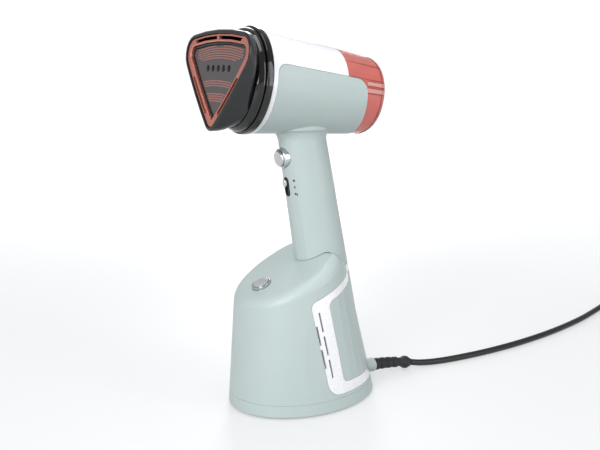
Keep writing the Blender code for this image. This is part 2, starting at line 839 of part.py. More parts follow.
def collar(barrel, look):
    """Two glossy rings, stepped like a lens rim, between the barrel and the head."""
    inner = NECK_RADIUS - 0.0030
    rear_profile = [
        (inner, COLLAR_REAR),
        (COLLAR_RADIUS - 0.0008, COLLAR_REAR),
        (COLLAR_RADIUS, COLLAR_REAR + 0.0010),
        (COLLAR_RADIUS, COLLAR_SPLIT - 0.0022),
        (COLLAR_RADIUS - 0.0012, COLLAR_SPLIT - GAP),
        (inner, COLLAR_SPLIT - GAP),
    ]
    front_profile = [
        (inner, COLLAR_SPLIT),
        (COLLAR_RADIUS - 0.0022, COLLAR_SPLIT),
        (COLLAR_RADIUS - 0.0018, COLLAR_SPLIT + 0.0012),
        (COLLAR_RADIUS - 0.0024, COLLAR_SPLIT + 0.0034),
        (COLLAR_RADIUS - 0.0040, COLLAR_SPLIT + 0.0044),
        (COLLAR_RADIUS - 0.0044, COLLAR_SPLIT + 0.0066),
        (NECK_RADIUS + 0.0004, COLLAR_FRONT),
        (inner, COLLAR_FRONT),
    ]
    turned("collar_rear", rear_profile, look, barrel, ROUND, BARREL_OVAL)
    turned("collar_front", front_profile, look, barrel, ROUND, BARREL_OVAL)


def bezier_between(start, start_angle, end, end_angle, count):
    """Points strictly between two arcs whose outward normals have these angles, on a curve tangent to both."""
    first = Vector((-math.sin(start_angle), math.cos(start_angle)))
    last = Vector((-math.sin(end_angle), math.cos(end_angle)))
    gap = Vector(end) - Vector(start)
    reach = (gap.x * last.y - gap.y * last.x) / (first.x * last.y - first.y * last.x)
    control = Vector(start) + first * reach
    points = []
    for i in range(1, count + 1):
        t = i / (count + 1)
        points.append(tuple((1 - t) ** 2 * Vector(start) + 2 * t * (1 - t) * control + t * t * Vector(end)))
    return points


def head_outline(offset):
    """The head's rounded triangle, moved out by an offset: arcs at its corners and slightly bulging sides."""
    corner = HEAD_CORNER_RADIUS + offset
    tip = HEAD_TIP_RADIUS + offset
    run = math.atan2(HEAD_CORNER_UP - HEAD_TIP_UP, HEAD_CORNER_X)
    side = math.degrees(run) - 90 - 3
    bulge = 4
    arcs = [
        arc((HEAD_CORNER_X, HEAD_CORNER_UP + HEAD_DROP), corner, side + bulge, 82, HEAD_ARC_POINTS),
        arc((-HEAD_CORNER_X, HEAD_CORNER_UP + HEAD_DROP), corner, 98, 180 - side - bulge, HEAD_ARC_POINTS),
        arc((0, HEAD_TIP_UP + HEAD_DROP), tip, 180 - side + bulge, 360 + side - bulge, HEAD_ARC_POINTS),
    ]
    joins = [(82, 98), (180 - side - bulge, 180 - side + bulge), (360 + side - bulge, 360 + side + bulge)]
    outline = []
    for i, (points, angles) in enumerate(zip(arcs, joins)):
        start, end = (math.radians(angle) for angle in angles)
        outline += points
        outline += bezier_between(points[-1], start, arcs[(i + 1) % 3][0], end, HEAD_SIDE_POINTS)
    return outline


def outline_normals(outline):
    """Angle of the outward normal at each point of a closed outline."""
    angles = []
    for i in range(len(outline)):
        before = Vector(outline[i - 1])
        after = Vector(outline[(i + 1) % len(outline)])
        along = after - before
        angles.append(math.atan2(-along.x, along.y))
    return angles


def head_ring(forward, offset, blend=0.0, radius=0.0):
    """A ring of points between the head's triangle (blend 0) and the neck's circle (blend 1)."""
    triangle = head_outline(offset)
    ring = []
    for (x, up), angle in zip(triangle, outline_normals(head_outline(0.0))):
        circle_x = radius * BARREL_OVAL * math.cos(angle)
        circle_up = radius * math.sin(angle)
        ring.append((x + (circle_x - x) * blend, up + (circle_up - up) * blend, forward))
    return ring


def head_shell(barrel, look):
    seat = RING_FRONT - RING_THICKNESS - GAP
    wall_back = NECK_RADIUS - 0.0028
    end = COLLAR_FRONT + GAP
    rings = [
        head_ring(HEAD_FRONT, HEAD_LIP - 0.0014),
        head_ring(HEAD_FRONT - 0.0012, HEAD_LIP),
        head_ring(0.0320, HEAD_LIP, 0.12, NECK_RADIUS),
        head_ring(0.0270, HEAD_LIP, 0.38, NECK_RADIUS),
        head_ring(0.0235, HEAD_LIP - 0.0005, 0.68, NECK_RADIUS),
        head_ring(0.0205, HEAD_LIP - 0.001, 0.92, NECK_RADIUS),
        head_ring(end, HEAD_LIP - 0.001, 1.0, NECK_RADIUS),
        head_ring(end, -0.0015, 1.0, wall_back),
        head_ring(0.0215, -0.0015, 0.92, wall_back),
        head_ring(SLEEVE_BACK, -0.0015, 0.60, wall_back),
        head_ring(SHELL_WAIST, -0.0010, 0.28, wall_back),
        head_ring(seat, -0.0012),
        head_ring(seat, GAP),
        head_ring(HEAD_FRONT, GAP),
    ]
    return lofted("head_shell", rings, look, barrel, loop=True)


def outline_stretch(offset, start, end, count):
    """Points along part of the outline. Shares of its length count from the middle of the top, to the -X side."""
    outline = [Vector(point) for point in head_outline(offset)]
    first = HEAD_ARC_POINTS + HEAD_SIDE_POINTS // 2
    outline = outline[first:] + outline[:first]
    closed = [*outline, outline[0]]
    lengths = [0.0]
    for p, q in zip(closed, closed[1:]):
        lengths.append(lengths[-1] + (q - p).length)
    points = []
    for i in range(count):
        target = lengths[-1] * (start + (end - start) * i / (count - 1))
        at = next(k for k in range(1, len(lengths)) if lengths[k] >= target - 1e-9)
        share = (target - lengths[at - 1]) / (lengths[at] - lengths[at - 1])
        points.append(tuple(closed[at - 1].lerp(closed[at], share)))
    return points


def ring_slots(barrel, guide):
    """Air slots in the suction ring: two along the top and one down each side."""
    margin = 0.0019
    slots = []
    stretches = ((0.006, 0.150), (0.850, 0.994), (0.300, 0.452), (0.548, 0.700))
    for number, (start, end) in enumerate(stretches, 1):
        outer = outline_stretch(-margin, start, end, 12)
        inner = outline_stretch(-RING_WIDTH + margin, start, end, 12)
        back = RING_FRONT - 2 * RING_THICKNESS
        slots.append(hide(prism_z(f"ring_slot_{number}", outer + inner[::-1], back, 0.05, guide, barrel)))
    return slots


def suction_ring(barrel, look, guide):
    """Rose metal ring round the plate, with the slots that the air is drawn through."""
    back = RING_FRONT - RING_THICKNESS
    rings = [
        head_ring(back, 0.0),
        head_ring(RING_FRONT - 0.0006, 0.0),
        head_ring(RING_FRONT, -0.0006),
        head_ring(RING_FRONT, -RING_WIDTH + 0.0006),
        head_ring(RING_FRONT - 0.0006, -RING_WIDTH),
        head_ring(back, -RING_WIDTH),
    ]
    ring = lofted("suction_ring", rings, look, barrel, loop=True)
    cut(ring, *ring_slots(barrel, guide))
    return ring


def plate_sleeve(barrel, look):
    """Heat-proof sleeve that keeps the suction channel apart from the hot plate."""
    outer = -RING_WIDTH - GAP
    inner = -PLATE_INSET + GAP
    front = PLATE_FRONT + 0.0008
    rear_radius = NECK_RADIUS - SLEEVE_INSET
    rings = [
        head_ring(SLEEVE_BACK, outer, 0.60, rear_radius),
        head_ring(SHELL_WAIST, outer, 0.28, rear_radius),
        head_ring(CHAMBER_SHOULDER, outer),
        head_ring(front, outer),
        head_ring(front, inner),
        head_ring(CHAMBER_SHOULDER, inner),
        head_ring(SHELL_WAIST, inner, 0.28, rear_radius - 0.0012),
        head_ring(SLEEVE_BACK, inner, 0.60, rear_radius - 0.0012),
    ]
    return lofted("plate_sleeve", rings, look, barrel, loop=True)


def soleplate(barrel, look, guide):
    back = PLATE_FRONT - PLATE_THICKNESS
    rings = [
        head_ring(back, -PLATE_INSET),
        head_ring(PLATE_FRONT - 0.0005, -PLATE_INSET),
        head_ring(PLATE_FRONT, -PLATE_INSET - 0.0005),
    ]
    plate = lofted("soleplate", rings, look, barrel)
    for number in range(STEAM_HOLES):
        radius = STEAM_HOLE_RADIUS
        hole = turned(f"steam_hole_{number + 1}", [(0, 0.02), (radius, 0.02), (radius, 0.05), (0, 0.05)], guide,
                      barrel, TINY_ROUND)
        x = (number - (STEAM_HOLES - 1) / 2) * STEAM_HOLE_PITCH
        hole.location = (x, HEAD_DROP + STEAM_HOLE_UP, 0)
        cut(plate, hide(hole))
    return plate


def chamber(barrel, gasket_look, block_look, guide):
    """Aluminium steam chamber behind the plate, open towards it, with a silicone gasket between."""
    front = PLATE_FRONT - PLATE_THICKNESS - GAP
    gasket_back = front - 0.0012
    rings = [
        head_ring(gasket_back, -PLATE_INSET - 0.0008),
        head_ring(front, -PLATE_INSET - 0.0008),
        head_ring(front, -PLATE_INSET - 0.0048),
        head_ring(gasket_back, -PLATE_INSET - 0.0048),
    ]
    lofted("chamber_gasket", rings, gasket_look, barrel, loop=True)
    block_front = gasket_back - GAP
    block_back = PLATE_FRONT - PLATE_THICKNESS - CHAMBER_THICKNESS
    rear_radius = NECK_RADIUS - CHAMBER_INSET
    rings = [
        head_ring(block_back, -PLATE_INSET - 0.0012, 0.92, rear_radius),
        head_ring(SLEEVE_BACK, -PLATE_INSET - 0.0012, 0.60, rear_radius),
        head_ring(SHELL_WAIST, -PLATE_INSET - 0.0012, 0.28, rear_radius),
        head_ring(block_front, -PLATE_INSET - 0.0006),
        head_ring(block_front, -PLATE_INSET - 0.0054),
        head_ring(block_front - 0.0070, -PLATE_INSET - 0.0054),
    ]
    block = lofted("steam_chamber", rings, block_look, barrel)
    inlet = turned("chamber_inlet_hole", [(0, 0), (0.0018, 0), (0.0018, 0.04), (0, 0.04)], guide, barrel, TINY_ROUND)
    inlet.location = (0, CHAMBER_INLET_UP, 0.010)
    cut(block, hide(inlet))
    return block_back


def heater_and_thermostat(barrel, block_back, heater_look, disc_look):
    """Bent tubular heater on the back of the chamber, and the thermostat disc in its middle."""
    height = block_back - GAP - HEATER_RADIUS
    points = []
    for i in range(19):
        angle = math.radians(140 + 260 * i / 18)
        points.append((HEATER_BEND * math.cos(angle), HEATER_BEND * math.sin(angle) + HEAD_DROP, height))
    first, last = points[0], points[-1]
    points = [
        (first[0], first[1] + 0.003, height - HEATER_LEGS),
        (first[0], first[1] + 0.003, height - 0.0040),
        *points,
        (last[0], last[1] + 0.003, height - 0.0040),
        (last[0], last[1] + 0.003, height - HEATER_LEGS),
    ]
    tube("heater_element", points, HEATER_RADIUS, heater_look, barrel)
    top = block_back - GAP
    profile = [
        (0, top - 0.0070),
        (THERMOSTAT_CORE, top - 0.0070),
        (THERMOSTAT_CORE, top - 0.0045),
        (THERMOSTAT_RADIUS, top - 0.0045),
        (THERMOSTAT_RADIUS, top),
        (0, top),
    ]
    disc = turned("thermostat", profile, disc_look, barrel, SMALL_ROUND)
    disc.location = (0, HEAD_DROP - 0.0040, 0)


# ---------------------------------------------------------------- water side


def tank_profile(front, rear, radius_at, edge, inset):
    """Outside of the tank from its front wall to its rounded rear end."""
    end = rear + inset
    rounding = edge - inset
    profile = [(0, front - inset), (radius_at(front) - inset, front - inset)]
    centre = (radius_at(rear) - edge, rear + edge)
    for angle in (0, -22, -45, -68, -90):
        turn = math.radians(angle)
        profile.append((centre[0] + rounding * math.cos(turn), centre[1] + rounding * math.sin(turn)))
    profile.append((0, end))
    return profile


def water_tank(barrel, look, guide, side_out_clear):
    """Clear tank at the rear. Its lower front slides inside the side covers, so it is cut back there."""
    front = TOP_COVER_END - GAP
    tank = turned("water_tank", tank_profile(front, TANK_END, barrel_radius, TANK_EDGE, 0.0), look, barrel, ROUND,
                  BARREL_OVAL)
    inner_radius = barrel_radius(SIDE_COVER_END - 0.012, WALL + 2 * GAP)
    ring = [
        (inner_radius, SIDE_COVER_END - 0.020),
        (2 * BARREL_RADIUS, SIDE_COVER_END - 0.020),
        (2 * BARREL_RADIUS, front + 0.004),
        (inner_radius, front + 0.004),
    ]
    step = turned("tank_step", ring, guide, barrel, ROUND, BARREL_OVAL)
    keep(hide(step), side_out_clear)
    cut(tank, step)
    radius = inner_radius - TANK_WALL
    hollow_profile = [(0, front - TANK_WALL), (radius, front - TANK_WALL), (radius, SIDE_COVER_END - 0.013)]
    hollow_profile += tank_profile(front, TANK_END, barrel_radius, TANK_EDGE, TANK_WALL)[3:]
    hollow = turned("tank_hollow", hollow_profile, guide, barrel, ROUND, BARREL_OVAL)
    bore = [(0, 0.026), (FILLER_RADIUS, 0.026), (FILLER_RADIUS, 0.060), (0, 0.060)]
    filler = turned("tank_filler", bore, guide, barrel, SMALL_ROUND)
    aim(filler, (0, 0, TANK_CAP_FORWARD), Vector((-1, 0, 0)))
    bore = [(0, -0.01), (0.0030, -0.01), (0.0030, 0.01), (0, 0.01)]
    outlet = turned("tank_outlet_hole", bore, guide, barrel, TINY_ROUND)
    outlet.location = (0, TANK_OUTLET_UP, front)
    cut(tank, hide(hollow), hide(filler), hide(outlet))
    return tank


def tank_cap(barrel, look):
    """Silicone filler stopper in the tank's left side, with a rim to pull it by."""
    surface = barrel_radius(TANK_CAP_FORWARD) * BARREL_OVAL
    profile = [
        (0, surface - CAP_PLUG_DEPTH),
        (CAP_PLUG_RADIUS - 0.0005, surface - CAP_PLUG_DEPTH),
        (CAP_PLUG_RADIUS, surface - CAP_PLUG_DEPTH + 0.0020),
        (CAP_PLUG_RADIUS, surface + GAP),
        (CAP_RIM_RADIUS, surface + GAP),
        (CAP_RIM_RADIUS, surface + 0.0012),
        (CAP_RIM_RADIUS - 0.0006, surface + 0.0018),
        (0, surface + 0.0018),
    ]
    cap = turned("tank_cap", profile, look, barrel, SMALL_ROUND)
    return aim(cap, (0, 0, TANK_CAP_FORWARD), Vector((-1, 0, 0)))


def rear_bulkhead(barrel, look, seal_look):
    """Wall across the barrel that the tank docks against, with the seal round its outlet."""
    front = TOP_COVER_END + 0.0060
    rear = front - 0.0025
    wall = barrel_cone("rear_bulkhead", front, rear, WALL + 2 * GAP, barrel, look)
    hole = turned("bulkhead_hole", [(0, -0.01), (0.0052, -0.01), (0.0052, 0.01), (0, 0.01)], look, barrel, TINY_ROUND)
    hole.location = (0, TANK_OUTLET_UP, front)
    cut(wall, hide(hole))
    profile = [
        (0.0020, -0.0030),
        (0.0048, -0.0030),
        (0.0048, 0.0012),
        (0.0064, 0.0012),
        (0.0064, 0.0026),
        (0.0020, 0.0026),
    ]
    seal = turned("tank_seal", profile, seal_look, barrel, TINY_ROUND)
    seal.location = (0, TANK_OUTLET_UP, front)
    return front


def pump_and_hoses(barrel, bulkhead, block_back, pump_look, hose_look):
    """Solenoid pump between the tank's outlet and the steam chamber's inlet."""
    rear = bulkhead + PUMP_SETBACK
    back = rear + SPIGOT_LENGTH
    front = back + PUMP_LENGTH
    profile = [
        (0, rear),
        (SPIGOT_RADIUS, rear),
        (SPIGOT_RADIUS, back),
        (PUMP_RADIUS, back),
        (PUMP_RADIUS, front),
        (SPIGOT_RADIUS, front),
        (SPIGOT_RADIUS, front + SPIGOT_LENGTH),
        (0, front + SPIGOT_LENGTH),
    ]
    pump = turned("water_pump", profile, pump_look, barrel, SMALL_ROUND)
    pump.location = (0, PUMP_UP, 0)
    forward = Vector((0, 0, 0.0030))
    low = Vector((0, TANK_OUTLET_UP, bulkhead + 0.0034))
    high = Vector((0, PUMP_UP, rear - 2 * GAP))
    route = [low, low + forward, low.lerp(high, 0.5), high - forward, high]
    tube("inlet_hose", smooth_path(route, 0.0030), HOSE_RADIUS, hose_look, barrel)
    start = Vector((0, PUMP_UP, front + SPIGOT_LENGTH + 2 * GAP))
    end = Vector((0, CHAMBER_INLET_UP, block_back - 0.0012))
    route = [start, start + forward, start.lerp(end, 0.5), end - 2 * forward, end]
    tube("outlet_hose", smooth_path(route, 0.0040), HOSE_RADIUS, hose_look, barrel)


# ---------------------------------------------------------------- controls


def handle_front_point(height):
    """Middle of the handle's front at a height, and the direction that its surface faces."""
    _, half_length, middle = handle_section(height)
    facing = Vector((0, -1, -HANDLE_FRONT_LEAN)).normalized()
    return Vector((0, middle - half_length, height)), facing


def trigger(stand, looks, guide):
    """Round steam button in a bezel, with its spring and its switch."""
    place, facing = handle_front_point(TRIGGER_HEIGHT)
    hole_radius = TRIGGER_RADIUS + BEZEL_WIDTH + 2 * GAP
    hole = turned("trigger_hole", [(0, -0.012), (hole_radius, -0.012), (hole_radius, 0.02), (0, 0.02)], guide, stand,
                  SMALL_ROUND)
    aim(hide(hole), place, facing)
    inner = TRIGGER_RADIUS + GAP
    outer = inner + BEZEL_WIDTH
    bezel = turned(
        "trigger_bezel",
        [(inner, -0.0075), (outer, -0.0075), (outer, 0.0024), (outer - 0.0006, 0.0034), (inner, 0.0034)],
        looks["chrome"],
        stand,
        SMALL_ROUND,
    )
    aim(bezel, place, facing)
    top = TRIGGER_PROUD
    button = turned(
        "trigger_button",
        [
            (0, -0.0080),
            (STEM_RADIUS, -0.0080),
            (STEM_RADIUS, -0.0040),
            (TRIGGER_RADIUS, -0.0040),
            (TRIGGER_RADIUS, top - 0.0012),
            (TRIGGER_RADIUS - 0.0004, top - 0.0004),
            (TRIGGER_RADIUS - 0.0014, top),
            (0, top - 0.0006),
        ],
        looks["chrome"],
        stand,
        SMALL_ROUND,
    )
    aim(button, place, facing)
    spring("trigger_spring", -0.0122, -0.0076, stand, looks["steel"], place, facing)
    microswitch("trigger_switch", -0.0128, stand, looks["black"], place, facing)
    return hole


def spring(name, low, high, stand, look, place, facing):
    """A short coil spring of round wire."""
    steps = 8 * SPRING_TURNS
    points = []
    for i in range(steps + 1):
        angle = 2 * math.pi * i / 8
        height = low + (high - low) * i / steps
        points.append((SPRING_RADIUS * math.cos(angle), SPRING_RADIUS * math.sin(angle), height))
    return aim(tube(name, points, SPRING_WIRE, look, stand, resolution=1), place, facing)


def microswitch(name, top, stand, look, place, facing):
    """The switch that a button's stem presses."""
    half_width, half_depth = MICROSWITCH_WIDTH / 2, MICROSWITCH_DEPTH / 2
    low = (-half_width, -half_depth, top - MICROSWITCH_HEIGHT)
    return aim(box(name, low, (half_width, half_depth, top), look, stand), place, facing)


def slot_outline(length, width):
    """A slot with round ends, along Y."""
    half = (length - width) / 2
    return arc((0, half), width / 2, 0, 180, 9) + arc((0, -half), width / 2, 180, 360, 9)


def slide_switch(stand, looks, guide):
    """Steam selector: a knob that slides down a track in the handle's front."""
    place, facing = handle_front_point(SWITCH_HEIGHT)
    hole = prism_z("switch_hole", slot_outline(SWITCH_LENGTH + 2 * GAP, SWITCH_WIDTH + 2 * GAP), -0.012, 0.012, guide,
                   stand)
    aim(hide(hole), place, facing)
    track = prism_z("switch_track", slot_outline(SWITCH_LENGTH, SWITCH_WIDTH), -0.0050, 0.0004, looks["black"], stand)
    aim(track, place, facing)
    groove = prism_z("switch_groove", slot_outline(SWITCH_LENGTH - 0.0024, SWITCH_WIDTH - 0.0024), -0.0016, 0.012,
                     guide, stand)
    aim(hide(groove), place, facing)
    cut(track, groove)
    width = SWITCH_WIDTH - 0.0024 - 2 * GAP
    length = SWITCH_LENGTH - 0.0024 - 2 * GAP - SWITCH_TRAVEL
    rings = [
        [(x, y, -0.0013) for x, y in slot_outline(length, width)],
        [(x, y, 0.0022) for x, y in slot_outline(length, width)],
        [(x, y, 0.0028) for x, y in slot_outline(length - 0.0010, width - 0.0010)],
    ]
    knob = lofted("switch_knob", rings, looks["chrome"], stand)
    aim(knob, place, facing)
    upwards = knob.rotation_euler.to_matrix() @ Vector((0, 1, 0))
    if upwards.z < 0:
        upwards = -upwards
    knob.location = place + upwards * SWITCH_TRAVEL / 2
    return hole


def power_place():
    tilt = top_tilt(POWER_Y)
    return Vector((0, POWER_Y, top_height(POWER_Y))), Vector((0, -math.sin(tilt), math.cos(tilt)))


def power_button(stand, looks, guide):
    """Round on/off button in the base's sloping top, with its bezel, spring and switch."""
    place, facing = power_place()
    hole_radius = POWER_RADIUS + BEZEL_WIDTH + 2 * GAP
    hole = turned("power_hole", [(0, -0.01), (hole_radius, -0.01), (hole_radius, 0.01), (0, 0.01)], guide, stand,
                  SMALL_ROUND)
    aim(hide(hole), place, facing)
    inner = POWER_RADIUS + GAP
    outer = inner + BEZEL_WIDTH
    bezel = turned(
        "power_bezel",
        [(inner, -0.0060), (outer, -0.0060), (outer, 0.0002), (outer - 0.0003, 0.0006), (inner, 0.0006)],
        looks["chrome"],
        stand,
        SMALL_ROUND,
    )
    aim(bezel, place, facing)
    button = turned(
        "power_button",
        [
            (0, -0.0080),
            (STEM_RADIUS, -0.0080),
            (STEM_RADIUS, -0.0030),
            (POWER_RADIUS, -0.0030),
            (POWER_RADIUS, 0.0010),
            (POWER_RADIUS - 0.0006, 0.0016),
            (0, 0.0012),
        ],
        looks["silver"],
        stand,
        SMALL_ROUND,
    )
    aim(button, place, facing)
    spring("power_spring", -0.0092, -0.0050, stand, looks["steel"], place, facing)
    microswitch("power_switch", -0.0098, stand, looks["black"], place, facing)
    return hole


# ---------------------------------------------------------------- suction side


def air_duct(stand, look, guide):
    """Oval pipe down the handle, from the barrel to the fan."""
    clear = WALL + DUCT_INSET
    high = TRIGGER_HEIGHT - 0.0140
    low = MOTOR_TOP + 0.0100
    rings = [
        handle_ring(high, clear),
        handle_ring(low, clear),
        handle_ring(low, clear + DUCT_WALL),
        handle_ring(high, clear + DUCT_WALL),
    ]
    lofted("air_duct", rings, look, stand, loop=True)
    hole = column("duct_hole", low - 0.02, top_height(0.0) + 0.04, WALL + DUCT_CLEARANCE, stand, guide)
    return hide(hole)


def fan_housing(stand, look, guide):
    """Round fan case with a hole for the air in its roof and a wide outlet towards each row of vents."""
    eye = MOTOR_RADIUS + 0.0060
    profile = [
        (HUB_RADIUS, FAN_BOTTOM),
        (FAN_RADIUS, FAN_BOTTOM),
        (FAN_RADIUS, FAN_TOP),
        (eye, FAN_TOP),
        (eye, FAN_TOP - FAN_WALL),
        (FAN_RADIUS - FAN_WALL, FAN_TOP - FAN_WALL),
        (FAN_RADIUS - FAN_WALL, FAN_BOTTOM + FAN_WALL),
        (HUB_RADIUS, FAN_BOTTOM + FAN_WALL),
    ]
    case = turned("fan_housing", profile, look, stand)
    case.location = (0, FAN_Y, 0)
    half = FAN_OUTLET_WIDTH / 2
    low = (-2 * FAN_RADIUS, -half, FAN_BOTTOM + 3 * FAN_WALL)
    outlet = box("fan_outlets", low, (2 * FAN_RADIUS, half, FAN_TOP - 3 * FAN_WALL), guide, stand)
    outlet.location = (0, FAN_Y, 0)
    cut(case, hide(outlet))
    return case


def impeller(stand, look, guide):
    """Disc with radial blades on the motor's shaft."""
    low = FAN_BOTTOM + 0.0040
    high = FAN_TOP - 0.0045
    profile = [
        (0, low),
        (IMPELLER_RADIUS, low),
        (IMPELLER_RADIUS, low + 0.0015),
        (0.0085, low + 0.0015),
        (HUB_RADIUS, high - 0.0020),
        (SHAFT_RADIUS, high - 0.0020),
        (SHAFT_RADIUS, MOTOR_TOP - 0.0140),
        (0, MOTOR_TOP - 0.0140),
    ]
    wheel = turned("impeller", profile, look, stand)
    wheel.location = (0, FAN_Y, 0)
    for number in range(BLADES):
        root = (HUB_RADIUS + 0.0010, -BLADE_THICKNESS / 2, low + 0.0008)
        tip = (IMPELLER_RADIUS - 0.0010, BLADE_THICKNESS / 2, high)
        blade = box(f"blade_{number + 1}", root, tip, guide, stand)
        blade.location = (0, FAN_Y, 0)
        blade.rotation_euler = (0, 0, 2 * math.pi * number / BLADES)
        join(wheel, hide(blade))
    return wheel


def motor(stand, can_look, rubber_look):
    """Suction motor above the fan, in a rubber ring that keeps its hum from the shell."""
    low = FAN_TOP + 0.0040
    bore = SHAFT_RADIUS + 0.0008
    can = turned(
        "suction_motor",
        [
            (0, MOTOR_TOP),
            (MOTOR_RADIUS - 0.0020, MOTOR_TOP),
            (MOTOR_RADIUS, MOTOR_TOP - 0.0020),
            (MOTOR_RADIUS, low + 0.0025),
            (HUB_RADIUS, low + 0.0025),
            (HUB_RADIUS, low),
            (bore, low),
            (bore, MOTOR_TOP - 0.0120),
            (0, MOTOR_TOP - 0.0120),
        ],
        can_look,
        stand,
        SMALL_ROUND + 4,
    )
    can.location = (0, FAN_Y, 0)
    inner = MOTOR_RADIUS + GAP
    outer = inner + MOUNT_THICKNESS
    ring = turned(
        "motor_mount",
        [(inner, low + 0.012), (outer, low + 0.012), (outer, low + 0.024), (inner, low + 0.024)],
        rubber_look,
        stand,
        SMALL_ROUND + 4,
    )
    ring.location = (0, FAN_Y, 0)


def control_board(stand, looks, guide):
    """Circuit board upright in the front of the base, with a relay and a capacitor."""
    board_y = -BASE_HALF_LENGTH + BOARD_INSET
    high = (BOARD_HALF_WIDTH, board_y + BOARD_THICKNESS, BOARD_HIGH)
    board = box("control_board", (-BOARD_HALF_WIDTH, board_y, BOARD_LOW), high, looks["board"], stand)
    relay = box("board_relay", (-0.018, board_y + 0.0010, 0.054), (-0.004, board_y + 0.0110, 0.070), guide, stand)
    join(board, hide(relay))
    capacitor = turned("board_capacitor", [(0, 0.0010), (0.0050, 0.0010), (0.0050, 0.0120), (0, 0.0120)], guide,
                       stand, TINY_ROUND)
    aim(hide(capacitor), (0.012, board_y, 0.072), Vector((0, 1, 0)))
    join(board, capacitor)
    return board


# ---------------------------------------------------------------- mains lead


def gland(stand, look):
    """Coloured bush in the back of the base that the strain relief comes out of."""
    radius = GLAND_RADIUS - GAP
    profile = [
        (GLAND_BORE, -0.0090),
        (radius, -0.0090),
        (radius, GLAND_PROUD - 0.0010),
        (radius - 0.0010, GLAND_PROUD),
        (GLAND_BORE, GLAND_PROUD),
    ]
    made = turned("cord_gland", profile, look, stand, SMALL_ROUND)
    return aim(made, (0, BASE_HALF_LENGTH, CORD_HEIGHT), Vector((0, 1, 0)))


def relief_ring(radius, along, count=16):
    """A circle round the strain relief's gently bending middle line."""
    share = along / RELIEF_END
    middle = Vector((
        RELIEF_TURN * along * share / 2,
        BASE_HALF_LENGTH + along,
        CORD_HEIGHT - RELIEF_DROOP * along * share / 2,
    ))
    heading = Vector((RELIEF_TURN * share, 1, -RELIEF_DROOP * share))
    sideways = heading.cross(Vector((0, 0, 1))).normalized()
    upwards = sideways.cross(heading).normalized()
    ring = []
    for i in range(count):
        angle = 2 * math.pi * i / count
        ring.append(middle + (sideways * math.cos(angle) + upwards * math.sin(angle)) * radius)
    return ring


def strain_relief(stand, look):
    """Ribbed rubber sleeve, ending in a bulb, that the cord comes straight out of."""
    bore = CORD_RADIUS + GAP
    first = GLAND_PROUD + 2 * GAP
    bulb = RELIEF_END - RELIEF_BULB
    pitch = (bulb - RELIEF_BULB - first) / RELIEF_RIBS
    profile = [(RELIEF_CORE, RELIEF_START), (RELIEF_CORE, first)]
    for rib in range(RELIEF_RIBS):
        low = first + rib * pitch
        radius = RELIEF_RIB_RADIUS - 0.0002 * rib
        profile += [
            (radius, low),
            (radius, low + pitch * 0.62),
            (radius - 0.0011, low + pitch * 0.70),
            (radius - 0.0011, low + pitch * 0.94),
        ]
    for angle in (-44, -15, 15, 44):
        turn = math.radians(angle)
        profile.append((RELIEF_BULB * math.cos(turn), bulb + RELIEF_BULB * math.sin(turn)))
    for share in (1, 0.75, 0.5, 0.25, 0):
        profile.append((bore, RELIEF_START + share * (RELIEF_END - RELIEF_START)))
    rings = [relief_ring(radius, along) for radius, along in profile]
    return lofted("strain_relief", rings, look, stand, loop=True)


def cord(look):
    tube("mains_cord", smooth_path(CORD_ROUTE, 0.0120), CORD_RADIUS, look)
    tube("cord_tail", smooth_path(TAIL_ROUTE, 0.0070), CORD_RADIUS, look)


def coil(look):
    """The rest of the cord: one ring with the outer shape of its turns."""
    across = (COIL_TURNS + 1) * CORD_PITCH / 2
    low = COIL_LIFT
    high = COIL_LIFT + COIL_LAYERS * CORD_PITCH
    edge = 0.0020
    profile = [
        (COIL_RADIUS - across, low + edge),
        (COIL_RADIUS - across + edge, low),
        (COIL_RADIUS + across - edge, low),
        (COIL_RADIUS + across, low + edge),
        (COIL_RADIUS + across, high - edge),
        (COIL_RADIUS + across - edge, high),
        (COIL_RADIUS - across + edge, high),
        (COIL_RADIUS - across, high - edge),
    ]
    turned("cord_coil", profile, look, None).location = (COIL_X, COIL_Y, 0)


def tie(look):
    """Soft strap round all the turns, on the far side of the coil."""
    across = (COIL_TURNS + 1) * CORD_PITCH / 2 + 0.0007
    low = COIL_LIFT - GAP
    high = COIL_LIFT + COIL_LAYERS * CORD_PITCH + GAP
    bottom = low - TIE_THICKNESS
    inner = rounded([(-across, low, 0.0015), (across, low, 0.0015), (across, high, 0.0015), (-across, high, 0.0015)])
    far = across + TIE_THICKNESS
    top = high + TIE_THICKNESS
    outer = rounded([(-far, bottom, 0.0023), (far, bottom, 0.0023), (far, top, 0.0023), (-far, top, 0.0023)])
    half = TIE_WIDTH / 2
    rings = [
        [(x, COIL_RADIUS + y, z) for y, z in outline]
        for outline, x in ((outer, -half), (outer, half), (inner, half), (inner, -half))
    ]
    lofted("cord_tie", rings, look, loop=True).location = (COIL_X, COIL_Y, 0)


